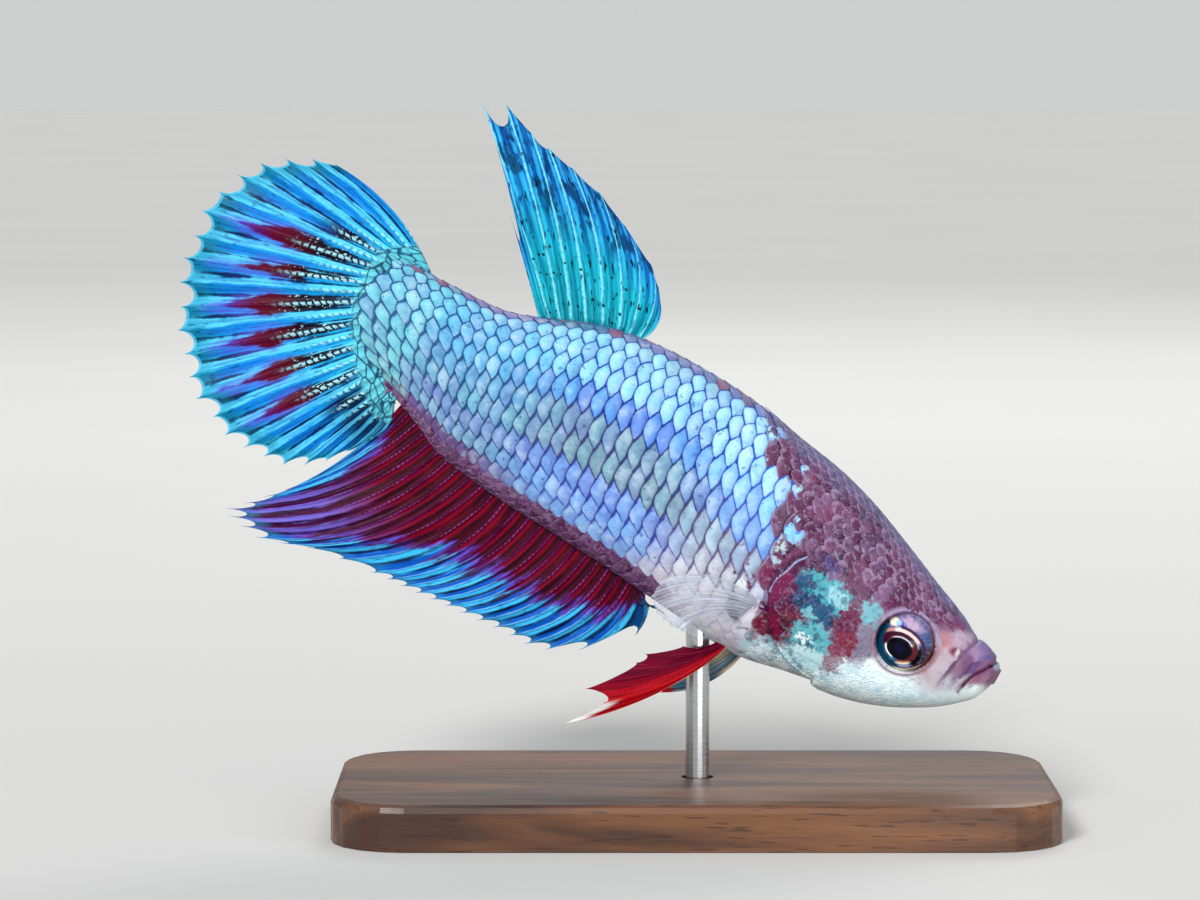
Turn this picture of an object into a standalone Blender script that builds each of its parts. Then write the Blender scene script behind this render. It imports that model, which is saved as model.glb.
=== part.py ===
"""Betta fish at life size: a still display model held up by one rod on a flat base.

Built in millimetres and written out in metres. +X points past the head, +Y to the fish's left
side and +Z up. The origin is the centre of the base's underside.

The body is drawn in its own frame: `along` runs from the snout to the tail and `rise` runs from
the belly to the back, both in the fish's upright middle plane. The fish points nose down.
"""

import math

import bmesh
import bpy
import numpy as np
from mathutils import Matrix, Vector

MM = 0.001

# How the fish hangs: where its snout is, and how steeply it points down.
SNOUT_X = 20.3
SNOUT_Z = 10.6
NOSE_DOWN = math.radians(28.66)

# Sideways curve of the whole fish: the head comes round to its right, the tail to its left.
HEAD_TURN = 0.9
HEAD_TURN_END = 14.0
TAIL_SWING = 1.8
TAIL_SWING_START = 22.0
TAIL_SWING_SPAN = 24.0

# Body stations: along, lean of the ring, back, belly and half width.
STATIONS = np.array([
    (-0.15, 0.00, -0.15, -1.25, 0.55),
    (0.30, 0.05, 0.35, -2.35, 1.25),
    (1.20, 0.05, 0.80, -3.42, 1.75),
    (2.20, 0.00, 1.02, -4.30, 2.15),
    (3.60, 0.00, 1.80, -5.18, 2.55),
    (6.30, 0.00, 2.98, -6.45, 3.05),
    (9.20, 0.00, 4.25, -7.17, 3.50),
    (12.40, 0.00, 5.55, -7.45, 3.85),
    (15.60, 0.00, 6.50, -7.92, 4.02),
    (18.90, 0.00, 7.10, -7.75, 4.05),
    (22.50, 0.00, 7.85, -7.38, 3.92),
    (26.50, 0.00, 8.15, -6.98, 3.62),
    (30.50, 0.00, 8.05, -6.70, 3.20),
    (34.00, 0.00, 7.45, -6.50, 2.75),
    (37.00, 0.00, 6.30, -6.20, 2.35),
    (40.00, 0.30, 5.15, -5.75, 1.95),
    (42.50, 1.00, 4.93, -4.90, 1.50),
    (45.60, 1.85, 4.85, -4.00, 0.60),
])
RING_POINTS = 24
RINGS = 38
RING_CROWDING = 1.22
SECTION_POWER = 0.92
TAIL_END = 45.6
TAIL_BULGE = 2.0
TAIL_BULGE_START = 41.0

# Gaps that keep touching pieces apart.
GAP = 0.3
ROOT_GAP = 0.25
FIN_THICKNESS = 0.5

# Cuts between the named parts, as corners of (along, rise).
THROAT_CUT = (10.4, -7.2)
NAPE_CUT = (13.8, 6.0)
PEDUNCLE_CUT = 39.0
GAPE_TOP = (-0.35, 1.65)
GAPE_CORNER = (1.72, -2.95)
FOLD_TOP = (1.62, 2.60)
FOLD_FOOT = (2.85, -2.85)
JAW_HINGE = (2.75, -3.40)
JAW_HEEL = (4.45, -6.30)

# Gill covers: outline of the loose plate behind the cheek, and its inner face.
COVER_OUTLINE = [
    (9.2, 0.2), (11.4, 0.9), (13.6, 0.6), (15.1, -0.5), (15.65, -2.2), (15.2, -4.0),
    (14.2, -5.2), (12.7, -6.1), (10.3, -6.9), (9.1, -6.2), (8.5, -4.2), (8.5, -1.8),
]
COVER_INNER = 2.35
COVER_INNER_SLOPE = 0.2

# Eyes.
EYE_ALONG = 6.55
EYE_RISE = -1.42
EYE_RADIUS = 1.95
EYE_DEPTH = 1.30
EYE_CENTRE_Y = 2.42
EYE_SEGMENTS = 20
EYE_RINGS = 10

# Stand.
BASE_LENGTH = 48.0
BASE_WIDTH = 24.0
BASE_HEIGHT = 3.0
BASE_CORNER = 5.0
BASE_EDGE = 0.5
ROD_RADIUS = 0.8
ROD_X = 0.2
ROD_TOP = 14.1
ROD_SEAT = 1.2
ROD_SIDES = 16

# Dorsal fin rays, front to rear: root x and z, tip x and z, forward bulge.
DORSAL_RAYS = [
    (-2.95, 32.75, -2.30, 34.80, 0.30),
    (-3.40, 32.95, -2.95, 37.40, 0.55),
    (-4.20, 33.25, -4.65, 39.90, 0.75),
    (-5.00, 33.65, -6.35, 42.15, 0.60),
    (-6.15, 34.10, -8.20, 43.80, 0.60),
    (-7.30, 34.25, -9.80, 45.20, 0.45),
    (-8.30, 34.30, -10.90, 46.10, 0.35),
    (-9.10, 34.30, -12.60, 48.00, 0.30),
    (-9.90, 34.35, -14.20, 48.20, 0.10),
    (-10.60, 34.40, -12.60, 41.45, 0.05),
]
DORSAL_NOTCHES = [0.2, 0.3, 0.3, 0.3, 0.3, 0.5, 0.2, 1.7, 5.2]

# Anal fin: root x of a ray against its tip, front to rear.
ANAL_TIPS = np.array([
    (-2.85, -1.75, 13.65),
    (-3.40, -4.10, 12.40),
    (-3.90, -7.50, 11.50),
    (-4.80, -10.70, 11.50),
    (-6.60, -13.40, 13.00),
    (-8.70, -16.50, 14.40),
    (-11.30, -19.80, 15.75),
    (-13.20, -22.00, 16.75),
    (-14.20, -25.30, 18.15),
    (-16.00, -29.50, 18.85),
    (-17.90, -31.80, 20.80),
    (-19.60, -27.10, 22.20),
])
ANAL_RAYS = 26
ANAL_FRONT = 22.2
ANAL_REAR = 44.7
ANAL_SAG = 0.11
ANAL_NOTCH = 0.55
ANAL_WAVE = 0.35

# Caudal fin: reach of the fan, from the middle of its root, against its angle in degrees.
CAUDAL_X = -20.8
CAUDAL_Z = 32.25
CAUDAL_REACH = np.array([
    (106.0, 12.2),
    (118.0, 13.8),
    (135.0, 15.0),
    (155.0, 14.8),
    (175.0, 14.2),
    (200.0, 13.3),
    (220.0, 11.9),
    (236.0, 10.4),
    (250.0, 8.1),
    (257.0, 6.7),
])
CAUDAL_RAYS = 25
CAUDAL_NOTCH = 0.75
CAUDAL_EDGE = 0.12
CAUDAL_EDGE_ROOT = 1.1
CAUDAL_EDGE_BULGE = 0.8
CAUDAL_WAVE = 0.35

# Paired fins, right side, upper or leading ray first: root x, y, z and tip x, y, z.
PECTORAL_ROOT = [(3.35, -4.30, 16.00), (2.30, -3.65, 13.95)]
PECTORAL_TIPS = np.array([
    (-2.40, -5.60, 16.90),
    (-3.05, -6.30, 15.90),
    (-2.75, -7.00, 14.90),
    (-1.75, -7.50, 14.10),
    (-0.35, -7.60, 13.45),
    (1.10, -7.00, 13.00),
])
PECTORAL_RAYS = 11
PELVIC_RAYS = [
    (2.55, -1.00, 11.35, -8.90, -2.90, 6.80),
    (2.30, -1.00, 11.45, -6.70, -2.70, 8.10),
    (2.05, -1.00, 11.60, -7.45, -2.60, 9.20),
    (1.75, -1.00, 11.72, -3.95, -2.10, 10.80),
    (1.45, -1.00, 11.85, -3.50, -1.90, 11.40),
    (1.15, -1.00, 12.00, -0.90, -1.50, 11.75),
]
FAR_PELVIC_RAYS = [
    (2.95, 1.00, 11.00, -2.30, 2.40, 8.20),
    (2.65, 1.00, 11.15, -2.70, 2.30, 9.00),
    (2.35, 1.00, 11.30, -3.20, 2.20, 9.70),
    (2.05, 1.00, 11.45, -2.50, 2.00, 10.40),
    (1.75, 1.00, 11.60, -1.40, 1.80, 10.90),
    (1.45, 1.00, 11.75, -0.40, 1.50, 11.40),
]


def smooth(table, x):
    """Value at x of a smooth curve through the rows (x, values...) of a table."""
    places = table[:, 0]
    values = table[:, 1:]
    slopes = np.gradient(values, places, axis=0)
    i = int(np.clip(np.searchsorted(places, x) - 1, 0, len(places) - 2))
    step = places[i + 1] - places[i]
    t = min(max((x - places[i]) / step, 0.0), 1.0)
    rise = values[i] * (2 * t ** 3 - 3 * t ** 2 + 1) + values[i + 1] * (3 * t ** 2 - 2 * t ** 3)
    turn = slopes[i] * (t ** 3 - 2 * t ** 2 + t) + slopes[i + 1] * (t ** 3 - t ** 2)
    return rise + turn * step


def swing(along):
    """Sideways offset of the fish's middle plane."""
    if along < HEAD_TURN_END:
        return -HEAD_TURN * ((HEAD_TURN_END - along) / HEAD_TURN_END) ** 2
    if along > TAIL_SWING_START:
        return TAIL_SWING * ((along - TAIL_SWING_START) / TAIL_SWING_SPAN) ** 2
    return 0.0


def place(along, rise, y):
    """Point in millimetres from the body's own frame."""
    x = SNOUT_X - along * math.cos(NOSE_DOWN) + rise * math.sin(NOSE_DOWN)
    z = SNOUT_Z + along * math.sin(NOSE_DOWN) + rise * math.cos(NOSE_DOWN)
    return Vector((x, y + swing(along), z))


def swing_at(x, z):
    """Sideways offset of the middle plane at a point of the side view."""
    return swing((SNOUT_X - x) * math.cos(NOSE_DOWN) + (z - SNOUT_Z) * math.sin(NOSE_DOWN))


def body_point(along, turn, grow=0.0):
    """Point of the body's surface: turn is 0 at the back, half a circle at the belly."""
    lean, back, belly, width = smooth(STATIONS, along)
    middle = (back + belly) / 2
    half = (back - belly) / 2 + grow
    side = math.sin(turn)
    late = max(along - TAIL_BULGE_START, 0.0) / (TAIL_END - TAIL_BULGE_START)
    shift = lean * math.cos(turn) + TAIL_BULGE * late ** 2 * side ** 2
    out = math.copysign(abs(side) ** SECTION_POWER, side) * (width + grow)
    return place(along + shift, middle + half * math.cos(turn), out)


def material(name, colour, roughness, metallic=0.0):
    """Principled material of one colour."""
    made = bpy.data.materials.new(name)
    made.use_nodes = True
    shader = made.node_tree.nodes["Principled BSDF"]
    shader.inputs["Base Color"].default_value = (*colour, 1.0)
    shader.inputs["Roughness"].default_value = roughness
    shader.inputs["Metallic"].default_value = metallic
    return made


def finish(name, mesh_data, surface):
    """Turn a bmesh in millimetres into a named object in metres."""
    bmesh.ops.recalc_face_normals(mesh_data, faces=mesh_data.faces)
    bmesh.ops.scale(mesh_data, vec=(MM, MM, MM), verts=mesh_data.verts)
    mesh = bpy.data.meshes.new(name)
    mesh_data.to_mesh(mesh)
    mesh_data.free()
    made = bpy.data.objects.new(name, mesh)
    bpy.context.scene.collection.objects.link(made)
    if surface:
        mesh.materials.append(surface)
        mesh.shade_smooth()
        mesh.set_sharp_from_angle(angle=math.radians(40))
    return made


def close_ring(mesh_data, ring):
    """Close the end of the loft with strips between its left and right sides."""
    count = len(ring)
    for k in range(count // 2):
        right = [ring[k], ring[k + 1]]
        left = [ring[(count - k - 1) % count], ring[(count - k) % count]]
        corners = list(dict.fromkeys(right + left))
        mesh_data.faces.new(corners)


def body_blank():
    """The whole body as one closed loft, before it is parted."""
    mesh_data = bmesh.new()
    rings = []
    edges = []
    for i in range(RINGS):
        along = STATIONS[0, 0] + (TAIL_END - STATIONS[0, 0]) * (i / (RINGS - 1)) ** RING_CROWDING
        turns = [2 * math.pi * k / RING_POINTS for k in range(RING_POINTS)]
        ring = [mesh_data.verts.new(body_point(along, turn)) for turn in turns]
        edges += [mesh_data.edges.new((ring[k - 1], ring[k])) for k in range(RING_POINTS)]
        rings.append(ring)
    bmesh.ops.bridge_loops(mesh_data, edges=edges)
    close_ring(mesh_data, rings[0])
    close_ring(mesh_data, rings[-1])
    bmesh.ops.recalc_face_normals(mesh_data, faces=mesh_data.faces)
    return mesh_data


def cut_away(mesh_data, first, second, keep_front):
    """Cut the blank square across along the line first-second and keep one side, closed."""
    start = place(first[0], first[1], 0.0)
    end = place(second[0], second[1], 0.0)
    line = end - start
    normal = Vector((line.z, 0.0, -line.x)).normalized()
    if (normal.x > 0) == keep_front:
        normal = -normal
    cut = bmesh.ops.bisect_plane(
        mesh_data,
        geom=list(mesh_data.verts) + list(mesh_data.edges) + list(mesh_data.faces),
        plane_co=start, plane_no=normal, clear_outer=True)
    rim = [item for item in cut["geom_cut"] if isinstance(item, bmesh.types.BMEdge)]
    bmesh.ops.holes_fill(mesh_data, edges=rim, sides=0)


def square_line(along, shift=0.0):
    """Two corners of a cut square to the body's axis."""
    return (along + shift, 9.0), (along + shift, -9.0)


def shifted(corner, along, rise=0.0):
    """A corner moved in the body's frame."""
    return corner[0] + along, corner[1] + rise


def grown(outline, amount):
    """Outline pushed out from its own middle by an amount."""
    middle = Vector((sum(p[0] for p in outline), sum(p[1] for p in outline))) / len(outline)
    result = []
    for corner in outline:
        arm = Vector(corner) - middle
        result.append(tuple(middle + arm * (1 + amount / arm.length)))
    return result


def slab(name, outline, inner, outer):
    """Cutter with an outline of the body's frame, between two sideways faces."""
    mesh_data = bmesh.new()
    faces = []
    for side in (inner, outer):
        corners = [mesh_data.verts.new(place(a, h, side(h))) for a, h in outline]
        faces.append(mesh_data.faces.new(corners))
    bmesh.ops.bridge_loops(mesh_data, edges=[edge for face in faces for edge in face.edges])
    return hide(finish(name, mesh_data, None))


def hide(cutter):
    """Mark an object as a cutter."""
    cutter.hide_render = True
    cutter.display_type = "WIRE"
    return cutter


def boolean(target, cutter, operation="DIFFERENCE"):
    """Cut a target, or keep only its common part, with a cutter."""
    modifier = target.modifiers.new(cutter.name, "BOOLEAN")
    modifier.operation = operation
    modifier.solver = "EXACT"
    modifier.object = cutter


def cover_slab(name, sign, extra):
    """Cutter for a gill cover on one side; sign is -1 on the right."""
    outline = grown(COVER_OUTLINE, extra) if extra else COVER_OUTLINE

    def inner(rise):
        return sign * (COVER_INNER - extra + COVER_INNER_SLOPE * rise)

    def outer(rise):
        return sign * 7.0

    return slab(name, outline, inner, outer)


def ball(name, sign, extra, surface):
    """Eyeball, or its socket when extra is given."""
    mesh_data = bmesh.new()
    bmesh.ops.create_uvsphere(
        mesh_data, u_segments=EYE_SEGMENTS, v_segments=EYE_RINGS, radius=1.0)
    radius = EYE_RADIUS + extra
    bmesh.ops.rotate(mesh_data, verts=mesh_data.verts, cent=(0, 0, 0),
                     matrix=Matrix.Rotation(math.pi / 2, 3, "X"))
    bmesh.ops.scale(mesh_data, verts=mesh_data.verts, vec=(radius, EYE_DEPTH + extra, radius))
    bmesh.ops.translate(mesh_data, verts=mesh_data.verts,
                        vec=place(EYE_ALONG, EYE_RISE, sign * EYE_CENTRE_Y))
    return finish(name, mesh_data, surface)


def eyes(surface):
    """Both eyes."""
    ball("eye_right", -1, 0.0, surface)
    ball("eye_left", 1, 0.0, surface)


def head(surface, covers):
    """Head without jaws, eyes and gill covers."""
    mesh_data = body_blank()
    cut_away(mesh_data, NAPE_CUT, THROAT_CUT, keep_front=True)
    made = finish("head", mesh_data, surface)
    mouth = slab("cut_mouth", [
        (-3.0, 4.0), shifted(FOLD_TOP, GAP, 1.4), shifted(FOLD_FOOT, GAP, -GAP),
        shifted(JAW_HEEL, GAP, 0.0), (JAW_HEEL[0] + GAP, -9.0), (-3.0, -9.0),
    ], lambda rise: -6.0, lambda rise: 6.0)
    boolean(made, mouth)
    for cover in covers:
        boolean(made, cover)
    for sign, side in ((-1, "right"), (1, "left")):
        boolean(made, hide(ball("cut_socket_" + side, sign, GAP * 0.8, None)))


def jaw(name, outline, surface):
    """One jaw, cut from the snout."""
    made = finish(name, body_blank(), surface)
    keep = slab("keep_" + name, outline, lambda rise: -6.0, lambda rise: 6.0)
    boolean(made, keep, "INTERSECT")


def jaws(surface):
    """Upper jaw with its lip, and lower jaw with its lip."""
    jaw("jaw_upper", [GAPE_TOP, GAPE_CORNER, FOLD_FOOT, FOLD_TOP], surface)
    jaw("jaw_lower", [
        (-3.0, 1.65), shifted(GAPE_TOP, -GAP), shifted(GAPE_CORNER, -GAP, -0.35), JAW_HINGE,
        JAW_HEEL, (JAW_HEEL[0], -9.0), (-3.0, -9.0),
    ], surface)


def gill_covers(surface):
    """Gill cover on each side."""
    for sign, side in ((-1, "right"), (1, "left")):
        made = finish("gill_cover_" + side, body_blank(), surface)
        boolean(made, cover_slab("keep_cover_" + side, sign, 0.0), "INTERSECT")


def trunk(surface, covers):
    """Trunk, with the blind hole that takes the rod."""
    mesh_data = body_blank()
    cut_away(mesh_data, shifted(NAPE_CUT, GAP), shifted(THROAT_CUT, GAP), keep_front=False)
    cut_away(mesh_data, *square_line(PEDUNCLE_CUT), keep_front=True)
    made = finish("trunk", mesh_data, surface)
    for cover in covers:
        boolean(made, cover)
    boolean(made, hide(upright("cut_rod_hole", ROD_RADIUS + GAP, 9.0, ROD_TOP + GAP, None)))


def tail(surface):
    """Tail stem behind the dorsal fin."""
    mesh_data = body_blank()
    cut_away(mesh_data, *square_line(PEDUNCLE_CUT, GAP), keep_front=False)
    finish("tail", mesh_data, surface)


def plate(name, columns, surface):
    """Fin: a sheet through columns of points from root to edge, with a thickness."""
    mesh_data = bmesh.new()
    grid = [[mesh_data.verts.new(point) for point in column] for column in columns]
    for left, right in zip(grid, grid[1:]):
        for i in range(len(left) - 1):
            mesh_data.faces.new((left[i], left[i + 1], right[i + 1], right[i]))
    made = finish(name, mesh_data, surface)
    thick = made.modifiers.new("thickness", "SOLIDIFY")
    thick.thickness = FIN_THICKNESS * MM
    thick.offset = 0.0
    thick.use_even_offset = False
    return made


def ray(root, tip, bulge, rows):
    """Points of one fin ray, bowed in the side view by a bulge."""
    root = Vector(root)
    tip = Vector(tip)
    side = Vector((tip.z - root.z, 0.0, root.x - tip.x)).normalized()
    return [root.lerp(tip, t) + side * (4 * bulge * t * (1 - t))
            for t in (row / rows for row in range(rows + 1))]


def web(rays, notches, between=2):
    """Columns of a fin: its rays, and between them skin whose edge is drawn in."""
    columns = []
    for left, right, notch in zip(rays, rays[1:], notches):
        columns.append(left)
        for k in range(1, between + 1):
            across = k / (between + 1)
            middle = [p.lerp(q, across) for p, q in zip(left, right)]
            reach = (middle[-1] - middle[0]).length
            short = 1 - min(notch / reach, 0.8)
            columns.append([middle[0].lerp(point, short) for point in middle])
    columns.append(rays[-1])
    return columns


def in_swing(columns, wave=None):
    """Move a fin of the middle plane onto the curve of the fish."""
    for i, column in enumerate(columns):
        for j, point in enumerate(column):
            point.y += swing_at(point.x, point.z)
            if wave:
                point.y += wave(i / (len(columns) - 1), j / (len(column) - 1))
    return columns


def dorsal_fin(surface):
    """Tall narrow fin on the back, leaning to the rear."""
    rays = [ray((x, 0, z), (tip_x, 0, tip_z), bulge, 4)
            for x, z, tip_x, tip_z, bulge in DORSAL_RAYS]
    columns = in_swing(web(rays, DORSAL_NOTCHES), lambda s, t: 0.25 * t * math.sin(7 * s))
    plate("dorsal_fin", columns, surface)


def anal_fin(surface):
    """Long fin under the belly and the tail stem."""
    rays = []
    for i in range(ANAL_RAYS):
        part = i / (ANAL_RAYS - 1)
        along = ANAL_FRONT + (ANAL_REAR - ANAL_FRONT) * part ** 1.12
        root = body_point(along, math.pi, ROOT_GAP)
        root.y = 0.0
        tip_x, tip_z = anal_tip(root.x)
        length = math.hypot(tip_x - root.x, tip_z - root.z)
        rays.append(ray(root, (tip_x, 0, tip_z), -ANAL_SAG * length, 4))
    columns = web(rays, [ANAL_NOTCH] * (ANAL_RAYS - 1))
    plate("anal_fin", in_swing(columns, lambda s, t: ANAL_WAVE * t * math.sin(14 * s)), surface)


def anal_tip(root_x):
    """Tip of the anal ray that starts at a given x."""
    table = ANAL_TIPS[::-1]
    return (float(np.interp(root_x, table[:, 0], table[:, 1])),
            float(np.interp(root_x, table[:, 0], table[:, 2])))


def caudal_fin(surface):
    """Round tail fin, a fan from the end of the tail stem."""
    rays = []
    first = CAUDAL_REACH[0, 0]
    last = CAUDAL_REACH[-1, 0]
    for i in range(CAUDAL_RAYS):
        part = i / (CAUDAL_RAYS - 1)
        angle = math.radians(first + (last - first) * part)
        reach = float(smooth(CAUDAL_REACH, math.degrees(angle))[0])
        tip = (CAUDAL_X + reach * math.cos(angle), 0, CAUDAL_Z + reach * math.sin(angle))
        top = max(1 - part / CAUDAL_EDGE, 0.0)
        foot = max(1 - (1 - part) / CAUDAL_EDGE, 0.0)
        root = body_point(TAIL_END - CAUDAL_EDGE_ROOT * top, math.pi * (0.02 + 0.96 * part))
        root += Vector((root.x + 17.0, 0, root.z - 32.5)).normalized() * ROOT_GAP
        root.y = 0.0
        rays.append(ray(root, tip, CAUDAL_EDGE_BULGE * (top - foot / 2), 3))
    columns = web(rays, [CAUDAL_NOTCH] * (CAUDAL_RAYS - 1))
    plate("caudal_fin", in_swing(columns, lambda s, t: CAUDAL_WAVE * t * math.sin(16 * s)),
          surface)


def pectoral_fins(surface):
    """Fan behind each gill cover."""
    for sign, side in ((1, "right"), (-1, "left")):
        rays = []
        for i in range(PECTORAL_RAYS):
            part = i / (PECTORAL_RAYS - 1)
            root = Vector(PECTORAL_ROOT[0]).lerp(Vector(PECTORAL_ROOT[1]), part)
            at = part * (len(PECTORAL_TIPS) - 1)
            places = range(len(PECTORAL_TIPS))
            tip = Vector([float(np.interp(at, places, PECTORAL_TIPS[:, k])) for k in range(3)])
            bend = ray(root, tip, 0.0, 3)
            for t, point in zip((0, 1 / 3, 2 / 3, 1), bend):
                point.y = (point.y + 0.7 * t * (1 - t)) * sign
            rays.append(bend)
        plate("pectoral_fin_" + side, web(rays, [0.15] * (PECTORAL_RAYS - 1), 1), surface)


def pelvic_fins(surface):
    """Narrow pair under the breast."""
    for side, table in (("right", PELVIC_RAYS), ("left", FAR_PELVIC_RAYS)):
        rays = [ray(row[:3], row[3:], -0.35, 4) for row in table]
        plate("pelvic_fin_" + side, web(rays, [0.3, 0.7, 0.5, 0.4, 0.4], 1), surface)


def upright(name, radius, low, high, surface):
    """Round upright at the rod's place."""
    mesh_data = bmesh.new()
    bmesh.ops.create_cone(mesh_data, cap_ends=True, segments=ROD_SIDES,
                          radius1=radius, radius2=radius, depth=high - low)
    bmesh.ops.translate(mesh_data, verts=mesh_data.verts, vec=(ROD_X, 0, (high + low) / 2))
    return finish(name, mesh_data, surface)


def stand_base(surface):
    """Flat base with round corners and a soft top edge."""
    mesh_data = bmesh.new()
    bmesh.ops.create_cube(mesh_data, size=1.0)
    bmesh.ops.scale(mesh_data, verts=mesh_data.verts,
                    vec=(BASE_LENGTH, BASE_WIDTH, BASE_HEIGHT))
    bmesh.ops.translate(mesh_data, verts=mesh_data.verts, vec=(0, 0, BASE_HEIGHT / 2))
    corners = [edge for edge in mesh_data.edges
               if abs(edge.verts[0].co.z - edge.verts[1].co.z) > 1.0]
    bmesh.ops.bevel(mesh_data, geom=corners, offset=BASE_CORNER, segments=5, profile=0.5,
                    affect="EDGES", material=-1)
    rim = [edge for edge in mesh_data.edges
           if all(vertex.co.z > BASE_HEIGHT - 0.01 for vertex in edge.verts)]
    bmesh.ops.bevel(mesh_data, geom=rim, offset=BASE_EDGE, segments=2, profile=0.5,
                    affect="EDGES", material=-1)
    made = finish("stand_base", mesh_data, surface)
    seat = upright("cut_rod_seat", ROD_RADIUS + GAP, BASE_HEIGHT - ROD_SEAT, 9.0, None)
    boolean(made, hide(seat))


def stand_rod(surface):
    """Rod from the base's seat up into the belly."""
    upright("stand_rod", ROD_RADIUS, BASE_HEIGHT - ROD_SEAT + GAP, ROD_TOP, surface)


def build():
    """Build every part in order."""
    for old in list(bpy.data.objects):
        bpy.data.objects.remove(old)
    covers = [cover_slab("cut_cover_right", -1, GAP), cover_slab("cut_cover_left", 1, GAP)]
    head(material("head_skin", (0.30, 0.17, 0.27), 0.45), covers)
    jaws(material("lip_skin", (0.50, 0.35, 0.45), 0.40))
    eyes(material("eye_surface", (0.10, 0.10, 0.16), 0.10))
    gill_covers(material("gill_cover_skin", (0.12, 0.45, 0.52), 0.40))
    trunk(material("trunk_skin", (0.20, 0.45, 0.75), 0.35), covers)
    tail(material("tail_skin", (0.22, 0.50, 0.62), 0.35))
    dorsal_fin(material("dorsal_web", (0.04, 0.42, 0.60), 0.40))
    anal_fin(material("anal_web", (0.20, 0.03, 0.12), 0.40))
    caudal_fin(material("caudal_web", (0.07, 0.33, 0.68), 0.40))
    pectoral_fins(material("pectoral_web", (0.55, 0.60, 0.68), 0.35))
    pelvic_fins(material("pelvic_web", (0.35, 0.01, 0.02), 0.40))
    stand_base(material("base_wood", (0.10, 0.055, 0.03), 0.50))
    stand_rod(material("rod_steel", (0.60, 0.60, 0.62), 0.30, 1.0))


build()
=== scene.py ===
"""Betta fish, dressed: one skin, a coat of scales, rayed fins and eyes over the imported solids.

The fish is drawn in its own frame, in millimetres: `along` runs from the snout to the tail,
`rise` from the belly to the back and `side` across. A `turn` goes round the body, 0 at the back
and half a circle at the belly. Finished meshes are in metres in the frame of the solids.
"""

import logging
import math
from dataclasses import dataclass
from enum import Enum
from types import SimpleNamespace
from typing import Callable, Iterable, Sequence, Union

import bmesh
import bpy
import numpy as np
from mathutils import Matrix, Vector


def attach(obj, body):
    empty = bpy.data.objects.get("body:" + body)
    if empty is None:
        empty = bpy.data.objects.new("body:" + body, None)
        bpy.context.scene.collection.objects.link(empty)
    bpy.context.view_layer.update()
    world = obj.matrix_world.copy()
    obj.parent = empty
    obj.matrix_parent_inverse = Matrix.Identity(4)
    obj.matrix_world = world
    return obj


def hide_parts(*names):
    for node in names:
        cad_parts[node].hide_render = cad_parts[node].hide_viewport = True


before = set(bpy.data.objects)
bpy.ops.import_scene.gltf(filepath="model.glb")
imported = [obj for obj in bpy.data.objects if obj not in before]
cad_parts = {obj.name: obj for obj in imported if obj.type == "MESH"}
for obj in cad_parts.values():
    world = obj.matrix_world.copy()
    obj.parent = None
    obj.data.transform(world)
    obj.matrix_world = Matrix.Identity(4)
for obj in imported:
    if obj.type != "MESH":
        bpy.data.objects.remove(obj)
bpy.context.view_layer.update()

LOG = logging.getLogger("betta")
MM = 0.001
BODY = "root"

Array = np.ndarray
Table = tuple[tuple[float, ...], ...]
Mesh, Object = bpy.types.Mesh, bpy.types.Object
Material, Tree = bpy.types.Material, bpy.types.NodeTree


def rgb(code: int) -> tuple[float, ...]:
    """Linear colour, with an alpha of 1, from a colour written as 0xRRGGBB."""
    parts = [(code >> shift & 255) / 255 for shift in (16, 8, 0)]
    return (*(p / 12.92 if p <= 0.04045 else ((p + 0.055) / 1.055) ** 2.4 for p in parts), 1.0)


def paint(colour: object) -> object:
    """Linear colour of a 0xRRGGBB code. Anything else stays as it is."""
    return rgb(colour) if isinstance(colour, int) else colour


def ease(value: Array, low: float, high: float) -> Array:
    """Smooth step from 0 at low to 1 at high."""
    t = np.clip((value - low) / (high - low), 0.0, 1.0)
    return t * t * (3 - 2 * t)


def glide(start: Array, end: Array, leave: Array, arrive: Array, t: Array,
          step: Array | float = 1.0) -> Array:
    """Smooth curve between two values.

    Args:
        start: Value at its start.
        end: Value at its end.
        leave: Slope at its start.
        arrive: Slope at its end.
        t: Shares of the way, 0 to 1.
        step: Length of the way that the slopes are measured on.

    Returns:
        Values along the curve.
    """
    bend = leave * (t**3 - 2 * t**2 + t) + arrive * (t**3 - t**2)
    return start * (2 * t**3 - 3 * t**2 + 1) + end * (3 * t**2 - 2 * t**3) + step * bend


class Side(Enum):
    """Side of the fish, by the sign of its sideways axis."""

    RIGHT = -1
    LEFT = 1

    @property
    def word(self) -> str:
        """Name used in piece names."""
        return self.name.lower()


# --- Shape of the body


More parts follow.
